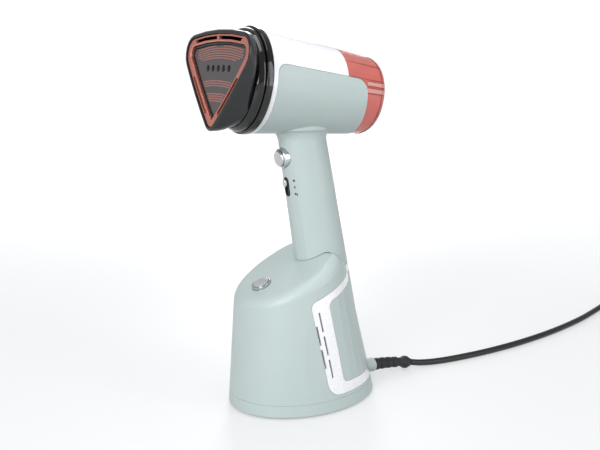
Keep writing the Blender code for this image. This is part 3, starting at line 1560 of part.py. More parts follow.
def plug(look, pin_look, guide):
    """Round two-pin mains plug on its side, with its own short ribbed relief."""
    bore = CORD_RADIUS + GAP
    back = PLUG_RELIEF_LENGTH
    face = back + PLUG_LENGTH
    place = (TAIL_ROUTE[-1][0], PLUG_Y, TAIL_ROUTE[-1][2])
    profile = [
        (0, 0.0),
        (bore + 0.0010, 0.0),
        (bore + 0.0022, back * 0.5),
        (bore + 0.0036, back),
        (PLUG_RADIUS * 0.62, back + 0.0030),
        (PLUG_RADIUS * 0.80, back + 0.0120),
        (PLUG_RADIUS, back + 0.0150),
        (PLUG_RADIUS, face - 0.0010),
        (PLUG_RADIUS - 0.0010, face),
        (0, face),
    ]
    body = aim(turned("plug_body", profile, look, None, SMALL_ROUND + 4), place, Vector((0, -1, 0)))
    for number, x in enumerate((-PIN_SPACING / 2, PIN_SPACING / 2), 1):
        hole = turned(
            f"pin_hole_{number}",
            [(0, face - 0.0060), (PIN_RADIUS + GAP, face - 0.0060), (PIN_RADIUS + GAP, face + 0.01), (0, face + 0.01)],
            guide,
            None,
            TINY_ROUND,
        )
        cut(body, aim(hide(hole), (place[0] + x, place[1], place[2]), Vector((0, -1, 0))))
        pin_profile = [
            (0, face - 0.0056),
            (PIN_RADIUS, face - 0.0056),
            (PIN_RADIUS, face + PIN_LENGTH - 0.0012),
            (PIN_RADIUS - 0.0010, face + PIN_LENGTH),
            (0, face + PIN_LENGTH),
        ]
        pin = turned(f"plug_pin_{number}", pin_profile, pin_look, None, TINY_ROUND)
        aim(pin, (place[0] + x, place[1], place[2]), Vector((0, -1, 0)))


# ---------------------------------------------------------------- the whole steamer


def materials():
    return {
        "mint": material("mint_abs", "#C3D1CF", 0.38),
        "white": material("white_abs", "#EDEFF2", 0.25),
        "silver": material("silver_painted_abs", "#D5D5DA", 0.32, 0.35),
        "chrome": material("satin_chrome", "#C9CACD", 0.22, 0.9),
        "steel": material("spring_steel", "#9A9DA1", 0.3, 1.0),
        "gloss": material("gloss_black_abs", "#0E0F11", 0.12),
        "black": material("satin_black_nylon", "#1D1F21", 0.42),
        "rose": material("rose_metal", "#D9826F", 0.25, 0.8),
        "plate": material("grey_ceramic_coating", "#6E6B6B", 0.4, 0.2),
        "coral": material("coral_clear_plastic", "#E27B72", 0.1),
        "aluminium": material("cast_aluminium", "#A9ACAF", 0.45, 1.0),
        "silicone": material("grey_silicone", "#B9BCBE", 0.6),
        "rubber": material("black_rubber", "#161718", 0.6),
        "board": material("green_circuit_board", "#2E6B48", 0.5),
        "cord": material("black_pvc", "#141516", 0.45),
        "guide": material("guide", "#FF00FF", 1.0),
    }


def main():
    clear_scene()
    looks = materials()
    guide = looks["guide"]
    stand = empty("stand", (0, BASE_Y, 0))
    barrel = empty("barrel", (0, BARREL_Y, BARREL_Z), stand, (math.pi / 2 - BARREL_TILT, 0, 0))

    shapes = base_solids(stand, guide)
    barrel_shapes = barrel_solids(stand, barrel, guide)
    duct_hole = air_duct(stand, looks["black"], guide)
    power_hole = power_button(stand, looks, guide)
    trigger_hole = trigger(stand, looks, guide)
    switch_hole = slide_switch(stand, looks, guide)

    base_shell(shapes, stand, looks["mint"], duct_hole, power_hole)
    vent_frame(shapes, stand, looks["silver"])
    back_panel(shapes, stand, looks["mint"])
    bottom_cover(shapes, stand, looks["mint"])
    feet(stand, looks["rubber"])
    base_screws(stand, looks["steel"])

    openings = (trigger_hole, switch_hole)
    body_half("body_left", -1, shapes, barrel_shapes, stand, barrel, looks["mint"], openings)
    body_half("body_right", 1, shapes, barrel_shapes, stand, barrel, looks["mint"], openings)
    top_cover(barrel, looks["white"], barrel_shapes["side_cover_clear"])
    collar(barrel, looks["gloss"])
    head_shell(barrel, looks["black"])
    suction_ring(barrel, looks["rose"], guide)
    plate_sleeve(barrel, looks["black"])
    soleplate(barrel, looks["plate"], guide)
    block_back = chamber(barrel, looks["silicone"], looks["aluminium"], guide)
    heater_and_thermostat(barrel, block_back, looks["steel"], looks["aluminium"])

    water_tank(barrel, looks["coral"], guide, barrel_shapes["side_cover_clear"])
    tank_cap(barrel, looks["silicone"])
    bulkhead = rear_bulkhead(barrel, looks["black"], looks["silicone"])
    pump_and_hoses(barrel, bulkhead, block_back, looks["black"], looks["silicone"])

    fan_housing(stand, looks["black"], guide)
    impeller(stand, looks["black"], guide)
    motor(stand, looks["steel"], looks["rubber"])
    control_board(stand, looks, guide)

    gland(stand, looks["mint"])
    strain_relief(stand, looks["rubber"])
    cord(looks["cord"])
    coil(looks["cord"])
    tie(looks["rubber"])
    plug(looks["rubber"], looks["steel"], guide)


main()
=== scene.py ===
# %% [markdown]
# # A handheld garment steamer, cell by cell
# The appliance stands on its own base. A hand holds the column, the head at the top sucks the cloth flat
# and blows steam through it, and clean water sits in the clear tank at the rear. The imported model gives
# every part's exact place. This file gives the parts their finish, and adds what is too fine for the packed
# model.

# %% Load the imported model
import json
import math

import bmesh
import bpy
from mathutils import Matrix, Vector


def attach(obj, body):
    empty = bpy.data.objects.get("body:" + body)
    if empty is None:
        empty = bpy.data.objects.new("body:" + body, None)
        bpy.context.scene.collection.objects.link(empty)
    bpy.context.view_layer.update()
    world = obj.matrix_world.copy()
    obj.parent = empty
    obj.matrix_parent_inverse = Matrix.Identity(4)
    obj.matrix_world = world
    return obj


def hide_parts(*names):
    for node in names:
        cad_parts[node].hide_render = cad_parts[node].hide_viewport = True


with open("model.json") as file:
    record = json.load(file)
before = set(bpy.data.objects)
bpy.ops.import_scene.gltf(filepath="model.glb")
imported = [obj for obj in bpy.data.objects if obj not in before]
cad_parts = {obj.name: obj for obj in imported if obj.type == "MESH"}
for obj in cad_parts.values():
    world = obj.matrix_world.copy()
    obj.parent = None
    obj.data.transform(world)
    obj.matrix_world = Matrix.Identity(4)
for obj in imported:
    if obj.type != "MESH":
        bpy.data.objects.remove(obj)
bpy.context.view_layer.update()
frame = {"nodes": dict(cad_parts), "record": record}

NODES = frame["nodes"]

# %% [markdown]
# ## The camera
# The steamer is seen through a normal lens from about arm's length and the height of its head, looking a
# little down. The camera goes in first, because how far the mains lead may spread depends on what the camera
# sees.

# %% Camera
CAMERA_PLACE = Vector((0.6453, -0.4018, 0.3333))
LOOK_AT = Vector((0.0, 0.0015, 0.1763))
SENSOR_MM, LENS_MM = 36, 47.4

camera_data = bpy.data.cameras.new("product_camera")
camera_data.sensor_width = SENSOR_MM
camera_data.lens = LENS_MM
camera = bpy.data.objects.new("product_camera", camera_data)
camera.location = CAMERA_PLACE
camera.rotation_euler = (LOOK_AT - CAMERA_PLACE).to_track_quat("-Z", "Y").to_euler()
bpy.context.scene.collection.objects.link(camera)
bpy.context.scene.camera = camera
print("camera is", round((LOOK_AT - CAMERA_PLACE).length, 3), "m away")

# %% [markdown]
# ## Colour and nodes
# Colours are written as screen hex values, which are not the amounts of light that the renderer works with,
# so one function turns each into linear light. Another function adds one shader node, with its settings and
# its links, and a third starts a material with the values that are the same all over its surface.


# %% Helpers for materials
# A Mix node has one set of sockets for each type of data. These are the numbers of its colour sockets.
MIX_SHARE, MIX_A, MIX_B, MIX_RESULT = 0, 6, 7, 2
NOISE_LOW, NOISE_HIGH = 0.3, 0.7  # most of a noise texture's values lie between these
DRIFT_MM = 35  # how wide the slow changes over a moulding are
GRAIN_STRENGTH = 0.6


def linear(hex_colour):
    """An sRGB hex colour as linear red, green, blue and 1."""
    channels = [int(hex_colour[i : i + 2], 16) / 255 for i in (1, 3, 5)]
    return (*[c / 12.92 if c <= 0.04045 else ((c + 0.055) / 1.055) ** 2.4 for c in channels], 1)


def add_node(tree, kind, inputs=None, **settings):
    """Add a node. Each input is a value, or the output socket of another node that is linked to it."""
    node = tree.nodes.new(kind)
    for key, value in settings.items():
        setattr(node, key, value)
    for key, value in (inputs or {}).items():
        if isinstance(value, bpy.types.NodeSocket):
            tree.links.new(value, node.inputs[key])
        else:
            node.inputs[key].default_value = value
    return node


def start_material(name, colour, roughness, **sockets):
    """A Principled material. Returns it with its node tree, its shader and the object's own coordinates."""
    look = bpy.data.materials.new(name)
    look.use_nodes = True
    tree = look.node_tree
    shader = tree.nodes["Principled BSDF"]
    shader.inputs["Base Color"].default_value = linear(colour)
    shader.inputs["Roughness"].default_value = roughness
    for key, value in sockets.items():
        shader.inputs[key.replace("_", " ")].default_value = value
    place = add_node(tree, "ShaderNodeTexCoord").outputs["Object"]
    return look, tree, shader, place


def moulded_grain(tree, shader, place, grain_mm, height_mm, roughness, colours):
    """The skin of a moulded plastic: a fine grain, slow changes of gloss and a faint drift of colour."""
    fine = add_node(tree, "ShaderNodeTexNoise", {"Vector": place, "Scale": 1000 / grain_mm, "Detail": 2.0})
    slow = add_node(tree, "ShaderNodeTexNoise", {"Vector": place, "Scale": 1000 / DRIFT_MM, "Detail": 3.0})
    bump = add_node(tree, "ShaderNodeBump",
                    {"Height": fine.outputs["Fac"], "Distance": height_mm / 1000, "Strength": GRAIN_STRENGTH})
    gloss = add_node(tree, "ShaderNodeMapRange",
                     {"Value": slow.outputs["Fac"], "From Min": NOISE_LOW, "From Max": NOISE_HIGH,
                      "To Min": roughness[0], "To Max": roughness[1]})
    tint = add_node(tree, "ShaderNodeMix",
                    {MIX_SHARE: slow.outputs["Fac"], MIX_A: linear(colours[0]), MIX_B: linear(colours[1])},
                    data_type="RGBA")
    tree.links.new(bump.outputs["Normal"], shader.inputs["Normal"])
    tree.links.new(gloss.outputs["Result"], shader.inputs["Roughness"])
    tree.links.new(tint.outputs[MIX_RESULT], shader.inputs["Base Color"])


print("material helpers ready")

# %% [markdown]
# ## The table
# The appliance stands on a white laminate table. Its glow is painted light: only the camera and the gloss
# parts see it, and it is weaker near the steamer and stronger far away, so the table looks white and the
# steamer still throws a soft shadow on it.

# %% Floor
FLOOR_RADIUS, FLOOR_SIDES = 14.0, 64
FLOOR_PATCHES = 3.0  # slow changes of gloss in each metre
FLOOR_ROUGHNESS = (0.55, 0.65)
NEAR_FLOOR, FAR_FLOOR = 0.2, 2.0  # metres from the steamer
# the table's painted glow near the steamer and far away
NEAR_PAINTED_GLOW, FAR_PAINTED_GLOW = 0.44, 0.86

floor_mesh = bpy.data.meshes.new("studio_floor")
floor_bm = bmesh.new()
bmesh.ops.create_circle(floor_bm, cap_ends=True, radius=FLOOR_RADIUS, segments=FLOOR_SIDES)
floor_bm.to_mesh(floor_mesh)
floor_bm.free()
floor = bpy.data.objects.new("studio_floor", floor_mesh)
bpy.context.scene.collection.objects.link(floor)
floor_look, floor_tree, floor_shader, floor_place = start_material("white_laminate_table", "#ACADAE", 0.6)
floor_noise = add_node(floor_tree, "ShaderNodeTexNoise", {"Vector": floor_place, "Scale": FLOOR_PATCHES})
floor_gloss = add_node(floor_tree, "ShaderNodeMapRange",
                       {"Value": floor_noise.outputs["Fac"],
                        "To Min": FLOOR_ROUGHNESS[0], "To Max": FLOOR_ROUGHNESS[1]})
floor_tree.links.new(floor_gloss.outputs["Result"], floor_shader.inputs["Roughness"])
# painted glow: only camera and gloss rays see it, and it grows with distance from the steamer
floor_rays = add_node(floor_tree, "ShaderNodeLightPath")
floor_seen = add_node(floor_tree, "ShaderNodeMath",
                      {0: floor_rays.outputs["Is Camera Ray"], 1: floor_rays.outputs["Is Glossy Ray"]},
                      operation="MAXIMUM")
floor_away = add_node(floor_tree, "ShaderNodeVectorMath", {0: floor_place}, operation="LENGTH")
floor_level = add_node(floor_tree, "ShaderNodeMapRange",
                       {"Value": floor_away.outputs["Value"], "From Min": NEAR_FLOOR, "From Max": FAR_FLOOR,
                        "To Min": NEAR_PAINTED_GLOW, "To Max": FAR_PAINTED_GLOW}, interpolation_type="SMOOTHSTEP")
floor_painted_glow = add_node(floor_tree, "ShaderNodeMath",
                      {0: floor_seen.outputs["Value"], 1: floor_level.outputs["Result"]},
                      operation="MULTIPLY")
floor_tree.links.new(floor_painted_glow.outputs["Value"], floor_shader.inputs["Emission Strength"])
floor_shader.inputs["Emission Color"].default_value = linear("#FFFFFF")
floor_mesh.materials.append(floor_look)
print("table is", 2 * FLOOR_RADIUS, "m across")

# %% [markdown]
# ## The room
# A white room fills the shadows. It looks brighter to the camera than the light that it gives, which keeps
# the background white without washing out the mint plastic.

# %% Room
ROOM_LIGHT, ROOM_SEEN = 0.50, 1.05  # what the room gives the steamer, and how bright it looks

world = bpy.data.worlds.new("white_room")
bpy.context.scene.world = world
world.use_nodes = True
room = world.node_tree.nodes["Background"]
room.inputs["Color"].default_value = linear("#FBFCFF")
room_rays = add_node(world.node_tree, "ShaderNodeLightPath")
room_level = add_node(world.node_tree, "ShaderNodeMapRange",
                      {"Value": room_rays.outputs["Is Camera Ray"],
                       "To Min": ROOM_LIGHT, "To Max": ROOM_SEEN})
world.node_tree.links.new(room_level.outputs["Result"], room.inputs["Strength"])
bpy.context.scene.view_settings.view_transform = "Standard"
print("room gives", ROOM_LIGHT, "and looks", ROOM_SEEN)

# %% [markdown]
# ## The lamps
# Four soft boxes light the steamer: a strong one high at the front, a weak tall one at the right, a narrow
# one behind at the left for the edges, and one above for the top of the barrel. Their shapes are the pale
# streaks on the gloss parts.

# %% Lamps
MIDDLE = (0.0, 0.0, 0.2)


def soft_lamp(name, place, target, size, power):
    """A rectangular soft box that points at a target, with its power in watts."""
    data = bpy.data.lights.new(name, "AREA")
    data.shape = "RECTANGLE"
    data.size, data.size_y = size
    data.energy = power
    lamp = bpy.data.objects.new(name, data)
    lamp.location = place
    lamp.rotation_euler = (Vector(target) - Vector(place)).to_track_quat("-Z", "Y").to_euler()
    bpy.context.scene.collection.objects.link(lamp)


soft_lamp("key_front", (0.85, -1.10, 0.75), MIDDLE, (0.7, 0.9), 16)
soft_lamp("fill_right", (1.25, 0.75, 0.60), MIDDLE, (0.35, 1.1), 4)
soft_lamp("rim_left", (-1.0, 0.55, 0.60), MIDDLE, (0.3, 1.0), 5)
soft_lamp("top", (0.15, 0.0, 1.4), MIDDLE, (0.5, 0.9), 5)
print("4 lamps")

# %% [markdown]
# ## The mains lead
# The real lead is a 7 mm round flexible cable, about 2.5 m long. It leaves the base through the strain
# relief, falls to the table within a few centimetres and runs out of view. The rest is put away as a coil
# of two layers. Where the lead lies free, its points are listed one by one, in metres.

# %% Route of the mains lead
CORD_RADIUS = 0.0035
CORD_ROUTE = [
    (0.0074, 0.1419, 0.0068),
    (0.0099, 0.1515, 0.0051),
    (0.0129, 0.1640, 0.0041),
    (0.0157, 0.1780, 0.0037),
    (0.0181, 0.1940, 0.0036),
    (0.0202, 0.2130, 0.0036),
    (0.0218, 0.2350, 0.0036),
    (0.0225, 0.2600, 0.0036),
    (0.0221, 0.2870, 0.0036),
    (0.0204, 0.3160, 0.0036),
    (0.0174, 0.3460, 0.0036),
    (0.0130, 0.3770, 0.0036),
    (0.0072, 0.4080, 0.0036),
    (0.0004, 0.4380, 0.0036),
    (-0.0076, 0.4660, 0.0036),
    (-0.0150, 0.4900, 0.0037),
    (-0.0212, 0.5100, 0.0041),
    (-0.0245, 0.5220, 0.0046),
    (-0.0255, 0.5315, 0.0048),
]
TAIL_ROUTE = [
    (0.0855, 0.5315, 0.0120),
    (0.0855, 0.5215, 0.0131),
    (0.0855, 0.5125, 0.0160),
    (0.0855, 0.5045, 0.0181),
    (0.0855, 0.4975, 0.0186),
]
print(len(CORD_ROUTE), "points to the coil and", len(TAIL_ROUTE), "from it to the plug")

# %% [markdown]
# ## The coil
# A lead that is wound up by hand lies in a spiral. This one winds inwards along the table, climbs onto
# itself and winds outwards again, so both of its ends come out at the edge. A loop works out the turns,
# because their places follow from two radii, two heights and the number of turns.

# %% Points along the lead
COIL_MIDDLE = Vector((0.0300, 0.5600, 0.0))
COIL_OUTER, COIL_INNER = 0.0555, 0.0285  # middle of the outermost and innermost turns
COIL_HEIGHTS = (0.0048, 0.0120)
COIL_TURNS = 3.75  # in each layer
RISE_TURNS = 1 / 6  # the part of a turn in which it climbs to the upper layer
POINTS_PER_TURN = 24
ROUTE_STEP, TAIL_STEP = 0.006, 0.004  # between points where the lead lies free


def smooth_path(points, step):
    """Points about a step apart on a smooth curve through the route's own points."""
    route = [Vector(point) for point in points]
    ends = [2 * route[0] - route[1], *route, 2 * route[-1] - route[-2]]
    made = []
    for a, b, c, d in zip(ends, ends[1:], ends[2:], ends[3:]):
        count = max(round((c - b).length / step), 1)
        for i in range(count):
            t = i / count
            made.append(0.5 * (2 * b + (c - a) * t + (2 * a - 5 * b + 4 * c - d) * t**2
                               + (3 * b - 3 * c + d - a) * t**3))
    return [*made, route[-1]]


def coil_path():
    """Inwards along the lower layer, up to the upper one, and outwards again, clockwise from above."""
    low, high = COIL_HEIGHTS
    points = []
    for i in range(round(2 * COIL_TURNS * POINTS_PER_TURN) + 1):
        turns = i / POINTS_PER_TURN
        angle = math.pi - 2 * math.pi * turns
        rise = min(max((turns - COIL_TURNS) / RISE_TURNS, 0), 1)
        if turns <= COIL_TURNS:
            radius = COIL_OUTER + (COIL_INNER - COIL_OUTER) * turns / COIL_TURNS
        else:
            outwards = max(turns - COIL_TURNS - RISE_TURNS, 0) / (COIL_TURNS - RISE_TURNS)
            radius = COIL_INNER + (COIL_OUTER - COIL_INNER) * outwards
        height = low + (high - low) * rise * rise * (3 - 2 * rise)
        points.append(COIL_MIDDLE + Vector((radius * math.cos(angle), radius * math.sin(angle), height)))
    return points


cord_points = smooth_path(CORD_ROUTE, ROUTE_STEP) + coil_path() + smooth_path(TAIL_ROUTE, TAIL_STEP)

# %% [markdown]
# ## The lead as one curve
# A curve with a round bevel is a tube, so the whole lead is one piece from the strain relief to the plug.
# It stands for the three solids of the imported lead.

# %% Make the lead
BEVEL_ROUNDNESS = 4

cord_curve = bpy.data.curves.new("mains_lead", "CURVE")
cord_curve.dimensions = "3D"
cord_curve.bevel_depth = 1.0  # each point's own radius is the lead's
cord_curve.bevel_resolution = BEVEL_ROUNDNESS
cord_curve.use_fill_caps = True
cord_spline = cord_curve.splines.new("POLY")
cord_spline.points.add(len(cord_points) - 1)
for target, point in zip(cord_spline.points, cord_points):
    target.co = (*point, 1)
    target.radius = CORD_RADIUS
mains_lead = bpy.data.objects.new("mains_lead", cord_curve)
bpy.context.scene.collection.objects.link(mains_lead)
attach(mains_lead, "housing")
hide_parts("mains_cord", "cord_tail", "cord_coil")
print("mains lead has", len(cord_points), "points")

# %% [markdown]
# ## Moulded plastics
# Most of the steamer is injection-moulded ABS. The steel mould is spark-eroded to a fine grain, which gives
# the mint shells their satin skin, or polished, which gives the white cover and the black collar their
# gloss. Real grain is 0.1 to 0.3 mm, too fine to show here, so it is drawn 1 to 3 mm wide and very low.

# %% Plastic materials
PLASTIC_IOR = 1.53  # ABS

mint_abs, tree, shader, place = start_material("mint_abs_satin", "#BFCDCB", 0.4, IOR=PLASTIC_IOR)
moulded_grain(tree, shader, place, 1.0, 0.012, (0.36, 0.46), ("#BAC8C6", "#B5C4C1"))

white_abs, tree, shader, place = start_material("white_abs_polished", "#F1F2F5", 0.18, IOR=PLASTIC_IOR)
moulded_grain(tree, shader, place, 2.0, 0.004, (0.14, 0.22), ("#F3F4F7", "#EDEEF2"))

black_gloss, tree, shader, place = start_material("black_abs_polished", "#0B0C0E", 0.08, IOR=PLASTIC_IOR)
moulded_grain(tree, shader, place, 3.0, 0.003, (0.05, 0.1), ("#07080A", "#040506"))

black_satin, tree, shader, place = start_material("black_nylon_grained", "#1B1D20", 0.38, IOR=PLASTIC_IOR)
moulded_grain(tree, shader, place, 0.9, 0.015, (0.26, 0.38), ("#121417", "#0D0F11"))
print("4 plastics")

# %% [markdown]
# ## Lacquers and metals
# The vent frame is ABS sprayed with pale silver lacquer, the power button with a darker one, and the ring
# round the plate is lacquered rose. The trigger, the bezels and the selector are satin chrome. The springs,
# the screws and the plug's pins are drawn steel, and the steam chamber is die-cast aluminium. A lacquer's
# real flakes are under 0.05 mm and a metal's grains not much larger, so both are drawn 0.7 to 2 mm wide.

# %% Lacquer and metal materials


def flaked(tree, shader, place, flake_mm, roughness, colours):
    """Small cells that differ a little in shade and gloss, as a lacquer's flakes or a metal's grains do."""
    flakes = add_node(tree, "ShaderNodeTexVoronoi", {"Vector": place, "Scale": 1000 / flake_mm})
    shade = add_node(tree, "ShaderNodeMix",
                     {MIX_SHARE: flakes.outputs["Distance"],
                      MIX_A: linear(colours[0]), MIX_B: linear(colours[1])},
                     data_type="RGBA")
    gloss = add_node(tree, "ShaderNodeMapRange",
                     {"Value": flakes.outputs["Distance"], "To Min": roughness[0], "To Max": roughness[1]})
    tree.links.new(shade.outputs[MIX_RESULT], shader.inputs["Base Color"])
    tree.links.new(gloss.outputs["Result"], shader.inputs["Roughness"])


silver_lacquer, tree, shader, place = start_material(
    "silver_lacquer", "#E6E6E9", 0.3, Metallic=0.35, Coat_Weight=0.4, Coat_Roughness=0.1)
flaked(tree, shader, place, 0.8, (0.24, 0.34), ("#F9F9FB", "#EFEFF2"))

button_silver, tree, shader, place = start_material(
    "dark_silver_lacquer", "#B9BBBE", 0.36, Metallic=0.35, Coat_Weight=0.25, Coat_Roughness=0.15)
flaked(tree, shader, place, 0.8, (0.32, 0.42), ("#BCBEC1", "#AFB1B5"))

rose_lacquer, tree, shader, place = start_material(
    "rose_metallic_lacquer", "#D5806F", 0.25, Metallic=0.7, Coat_Weight=0.4, Coat_Roughness=0.08)
flaked(tree, shader, place, 0.7, (0.22, 0.32), ("#E08C79", "#CB7462"))

chrome, tree, shader, place = start_material("satin_chrome_plating", "#C6C7CA", 0.2, Metallic=1.0)
flaked(tree, shader, place, 1.5, (0.18, 0.26), ("#CBCCCF", "#BDBEC2"))

steel, tree, shader, place = start_material("drawn_steel", "#9A9DA1", 0.3, Metallic=1.0)
flaked(tree, shader, place, 1.2, (0.25, 0.38), ("#A2A5A9", "#8E9195"))

aluminium, tree, shader, place = start_material("die_cast_aluminium", "#A9ACAF", 0.5, Metallic=1.0)
flaked(tree, shader, place, 2.0, (0.42, 0.6), ("#B0B3B6", "#9DA0A4"))
print("6 metals and lacquers")

# %% [markdown]
# ## Rubber, silicone, cable and board
# Soft parts have no sharp highlight. The cable's PVC is a little glossier than the rubber of the feet and
# of the plug. The hoses and the seals are silicone. The circuit board has a green solder resist. Their grain
# is drawn about 1 mm wide too.

# %% Soft materials and the circuit board
rubber, tree, shader, place = start_material("black_rubber_moulded", "#151617", 0.55, IOR=1.52)
moulded_grain(tree, shader, place, 0.9, 0.02, (0.48, 0.62), ("#17181A", "#121314"))

cable_pvc, tree, shader, place = start_material("black_pvc_extruded", "#121315", 0.38, IOR=1.53)
moulded_grain(tree, shader, place, 1.1, 0.015, (0.32, 0.44), ("#141517", "#0F1011"))

silicone, tree, shader, place = start_material("grey_silicone", "#B9BCBE", 0.55, IOR=1.41)
moulded_grain(tree, shader, place, 1.2, 0.01, (0.5, 0.62), ("#BDC0C2", "#B2B5B8"))

board, tree, shader, place = start_material("green_circuit_board", "#2E6B48", 0.4, IOR=1.55)
moulded_grain(tree, shader, place, 1.6, 0.02, (0.3, 0.5), ("#2E6B48", "#235A3A"))
print("rubber, PVC, silicone and board")

# %% [markdown]
# ## The coated plate
# The soleplate is pressed steel with a smooth grey ceramic coat, sprayed and fired, that sparkles a little.
# Bands of tiny rose dots are printed on it, and those are made in a later cell.

# %% Plate material
plate_coat, tree, shader, place = start_material(
    "grey_ceramic_coat", "#5F5B5B", 0.32, Metallic=0.25, Coat_Weight=0.25, Coat_Roughness=0.15)
flaked(tree, shader, place, 0.7, (0.3, 0.42), ("#575354", "#454243"))
print("plate material")

# %% [markdown]
# ## The tinted tank
# The tank is clear copolyester with a coral tint, so light goes through it and is filtered. Its wall is 1.8
# mm, and behind it the dark bulkhead shows. A shader that passes only part of the light keeps the coral
# colour strong.

# %% Tank material
tank_clear, tree, shader, place = start_material(
    "coral_clear_copolyester", "#E9857A", 0.06, IOR=1.54, Transmission_Weight=0.45)
moulded_grain(tree, shader, place, 4.0, 0.003, (0.04, 0.09), ("#EA8A80", "#E07B70"))
print("tank material")

# %% [markdown]
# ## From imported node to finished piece
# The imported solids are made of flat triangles. Each visible one is copied, its triangles are joined where
# they lie in one plane, its edges get the small radius that every moulded edge has, and its shading is
# smoothed. The copy stands for the node.

# %% A function that finishes a node
EDGE_MM = 0.25  # the radius of a moulded edge
EDGE_SEGMENTS = 2
SAME_PLACE = 1e-6  # points this close are one, in metres
FLAT_DEGREES = 0.6  # faces that meet at less than this are joined
SHARP_DEGREES, ROUNDED_DEGREES = 28, 35  # edges over these stay sharp in the shading, and get the radius

BODY_OF = {node: body for body, nodes in frame["record"]["behaviour"]["bodies"].items() for node in nodes}


def finish_node(node, look):
    """Put a copy with joined faces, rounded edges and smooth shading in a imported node's place."""
    mesh = NODES[node].data.copy()
    mesh.name = f"{node}_finished"
    bm = bmesh.new()
    bm.from_mesh(mesh)
    bmesh.ops.remove_doubles(bm, verts=bm.verts, dist=SAME_PLACE)
    bmesh.ops.dissolve_limit(bm, angle_limit=math.radians(FLAT_DEGREES), verts=bm.verts, edges=bm.edges)
    bm.to_mesh(mesh)
    bm.free()
    mesh.materials.clear()
    mesh.materials.append(look)
    mesh.shade_smooth()
    mesh.set_sharp_from_angle(angle=math.radians(SHARP_DEGREES))
    piece = bpy.data.objects.new(f"{node}_finished", mesh)
    bpy.context.scene.collection.objects.link(piece)
    bevel = piece.modifiers.new("edge_radius", "BEVEL")
    bevel.width = EDGE_MM / 1000
    bevel.segments = EDGE_SEGMENTS
    bevel.limit_method = "ANGLE"
    bevel.angle_limit = math.radians(ROUNDED_DEGREES)
    bevel.use_clamp_overlap = True
    normals = piece.modifiers.new("even_shading", "WEIGHTED_NORMAL")
    normals.keep_sharp = True
    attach(piece, BODY_OF[node])
    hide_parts(node)


# %% [markdown]
# ## Which node gets which finish
# The pieces that can be seen are finished. Those inside the shells are not, and only get their material.

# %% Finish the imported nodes
VISIBLE = {
    mint_abs: ["base_shell", "back_panel", "bottom_cover", "body_left", "body_right", "cord_gland"],
    white_abs: ["top_cover"],
    silver_lacquer: ["vent_frame"],
    button_silver: ["power_button"],
    black_satin: ["head_shell", "plate_sleeve", "switch_track"],
    rose_lacquer: ["suction_ring"],
    chrome: ["trigger_bezel", "trigger_button", "power_bezel", "switch_knob"],
    plate_coat: ["soleplate"],
    tank_clear: ["water_tank"],
    silicone: ["tank_cap"],
    rubber: ["strain_relief", "plug_body", "cord_tie", *[f"rubber_foot_{i}" for i in range(1, 5)]],
    steel: ["plug_pin_1", "plug_pin_2", *[f"base_screw_{i}" for i in range(1, 5)]],
}
for look, nodes in VISIBLE.items():
    for node in nodes:
        finish_node(node, look)

HIDDEN = {
    black_satin: ["rear_bulkhead", "water_pump", "fan_housing", "impeller", "air_duct", "power_switch",
                  "trigger_switch"],
    steel: ["heater_element", "suction_motor", "trigger_spring", "power_spring"],
    aluminium: ["steam_chamber", "thermostat"],
    silicone: ["chamber_gasket", "tank_seal", "inlet_hose", "outlet_hose"],
    rubber: ["motor_mount"],
    board: ["control_board"],
}
for look, nodes in HIDDEN.items():
    for node in nodes:
        NODES[node].data.materials.clear()
        NODES[node].data.materials.append(look)
cord_curve.materials.append(cable_pvc)
print(sum(map(len, VISIBLE.values())), "pieces finished")
print(sum(map(len, HIDDEN.values())), "hidden nodes coated")

# %% [markdown]
# ## The barrel's own directions
# The front of the barrel is tipped up by 7.2 degrees, and the barrel carries the plate, the collar and the
# tank. What goes on them is easier to place from the barrel's middle: to the right, up across the barrel, and
# forward along it.

# %% Places on the barrel
BARREL_AXIS = math.radians(7.2)
BARREL_PLACE = Vector((0.0, -0.0501, 0.3160))
BARREL_UP = Vector((0.0, math.sin(BARREL_AXIS), math.cos(BARREL_AXIS)))
BARREL_FORWARD = Vector((0.0, -math.cos(BARREL_AXIS), math.sin(BARREL_AXIS)))
RIGHT = Vector((1, 0, 0))


def on_barrel(x, up, forward):
    """The point this far right, up and forward of the barrel's middle."""
    return BARREL_PLACE + Vector((x, 0, 0)) + BARREL_UP * up + BARREL_FORWARD * forward


print("barrel points", [round(part, 3) for part in BARREL_FORWARD])

# %% [markdown]
# ## Adding a piece of our own
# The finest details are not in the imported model. One function makes a mesh into a piece that moves with a
# body of the steamer, and another makes a thin printed disc.

# %% Functions for new pieces


def link(name, bm, look, body):
    """A finished mesh as a piece that rides on a body."""
    bmesh.ops.recalc_face_normals(bm, faces=bm.faces)
    mesh = bpy.data.meshes.new(name)
    bm.to_mesh(mesh)
    bm.free()
    mesh.materials.append(look)
    piece = bpy.data.objects.new(name, mesh)
    bpy.context.scene.collection.objects.link(piece)
    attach(piece, body)
    return piece


def add_disc(bm, centre, right, up, normal, radius, thickness, sides):
    """A thin print that goes as far into the surface as it stands out. A short right makes it narrow."""
    rings = []
    for depth, size in ((-thickness, radius), (thickness, radius)):
        ring = []
        for i in range(sides):
            angle = 2 * math.pi * i / sides
            offset = right * math.cos(angle) * size + up * math.sin(angle) * size
            ring.append(bm.verts.new(centre + offset + normal * depth))
        rings.append(ring)
    bm.faces.new(rings[1])
    bm.faces.new(rings[0][::-1])
    for i in range(sides):
        j = (i + 1) % sides
        bm.faces.new((rings[0][i], rings[0][j], rings[1][j], rings[1][i]))


print("piece functions ready")

# %% [markdown]
# ## Printed dots on the plate
# Three bands of tiny rose dots are printed on the ceramic coat: one above the steam holes, a narrow one
# below them, and one that runs down to the tip. The rows bend a little, as if round the tip. Printed ink is
# 0.02 mm thick. It is drawn 0.08 mm proud, and the dots about twice as large as real ones, so that they
# show.

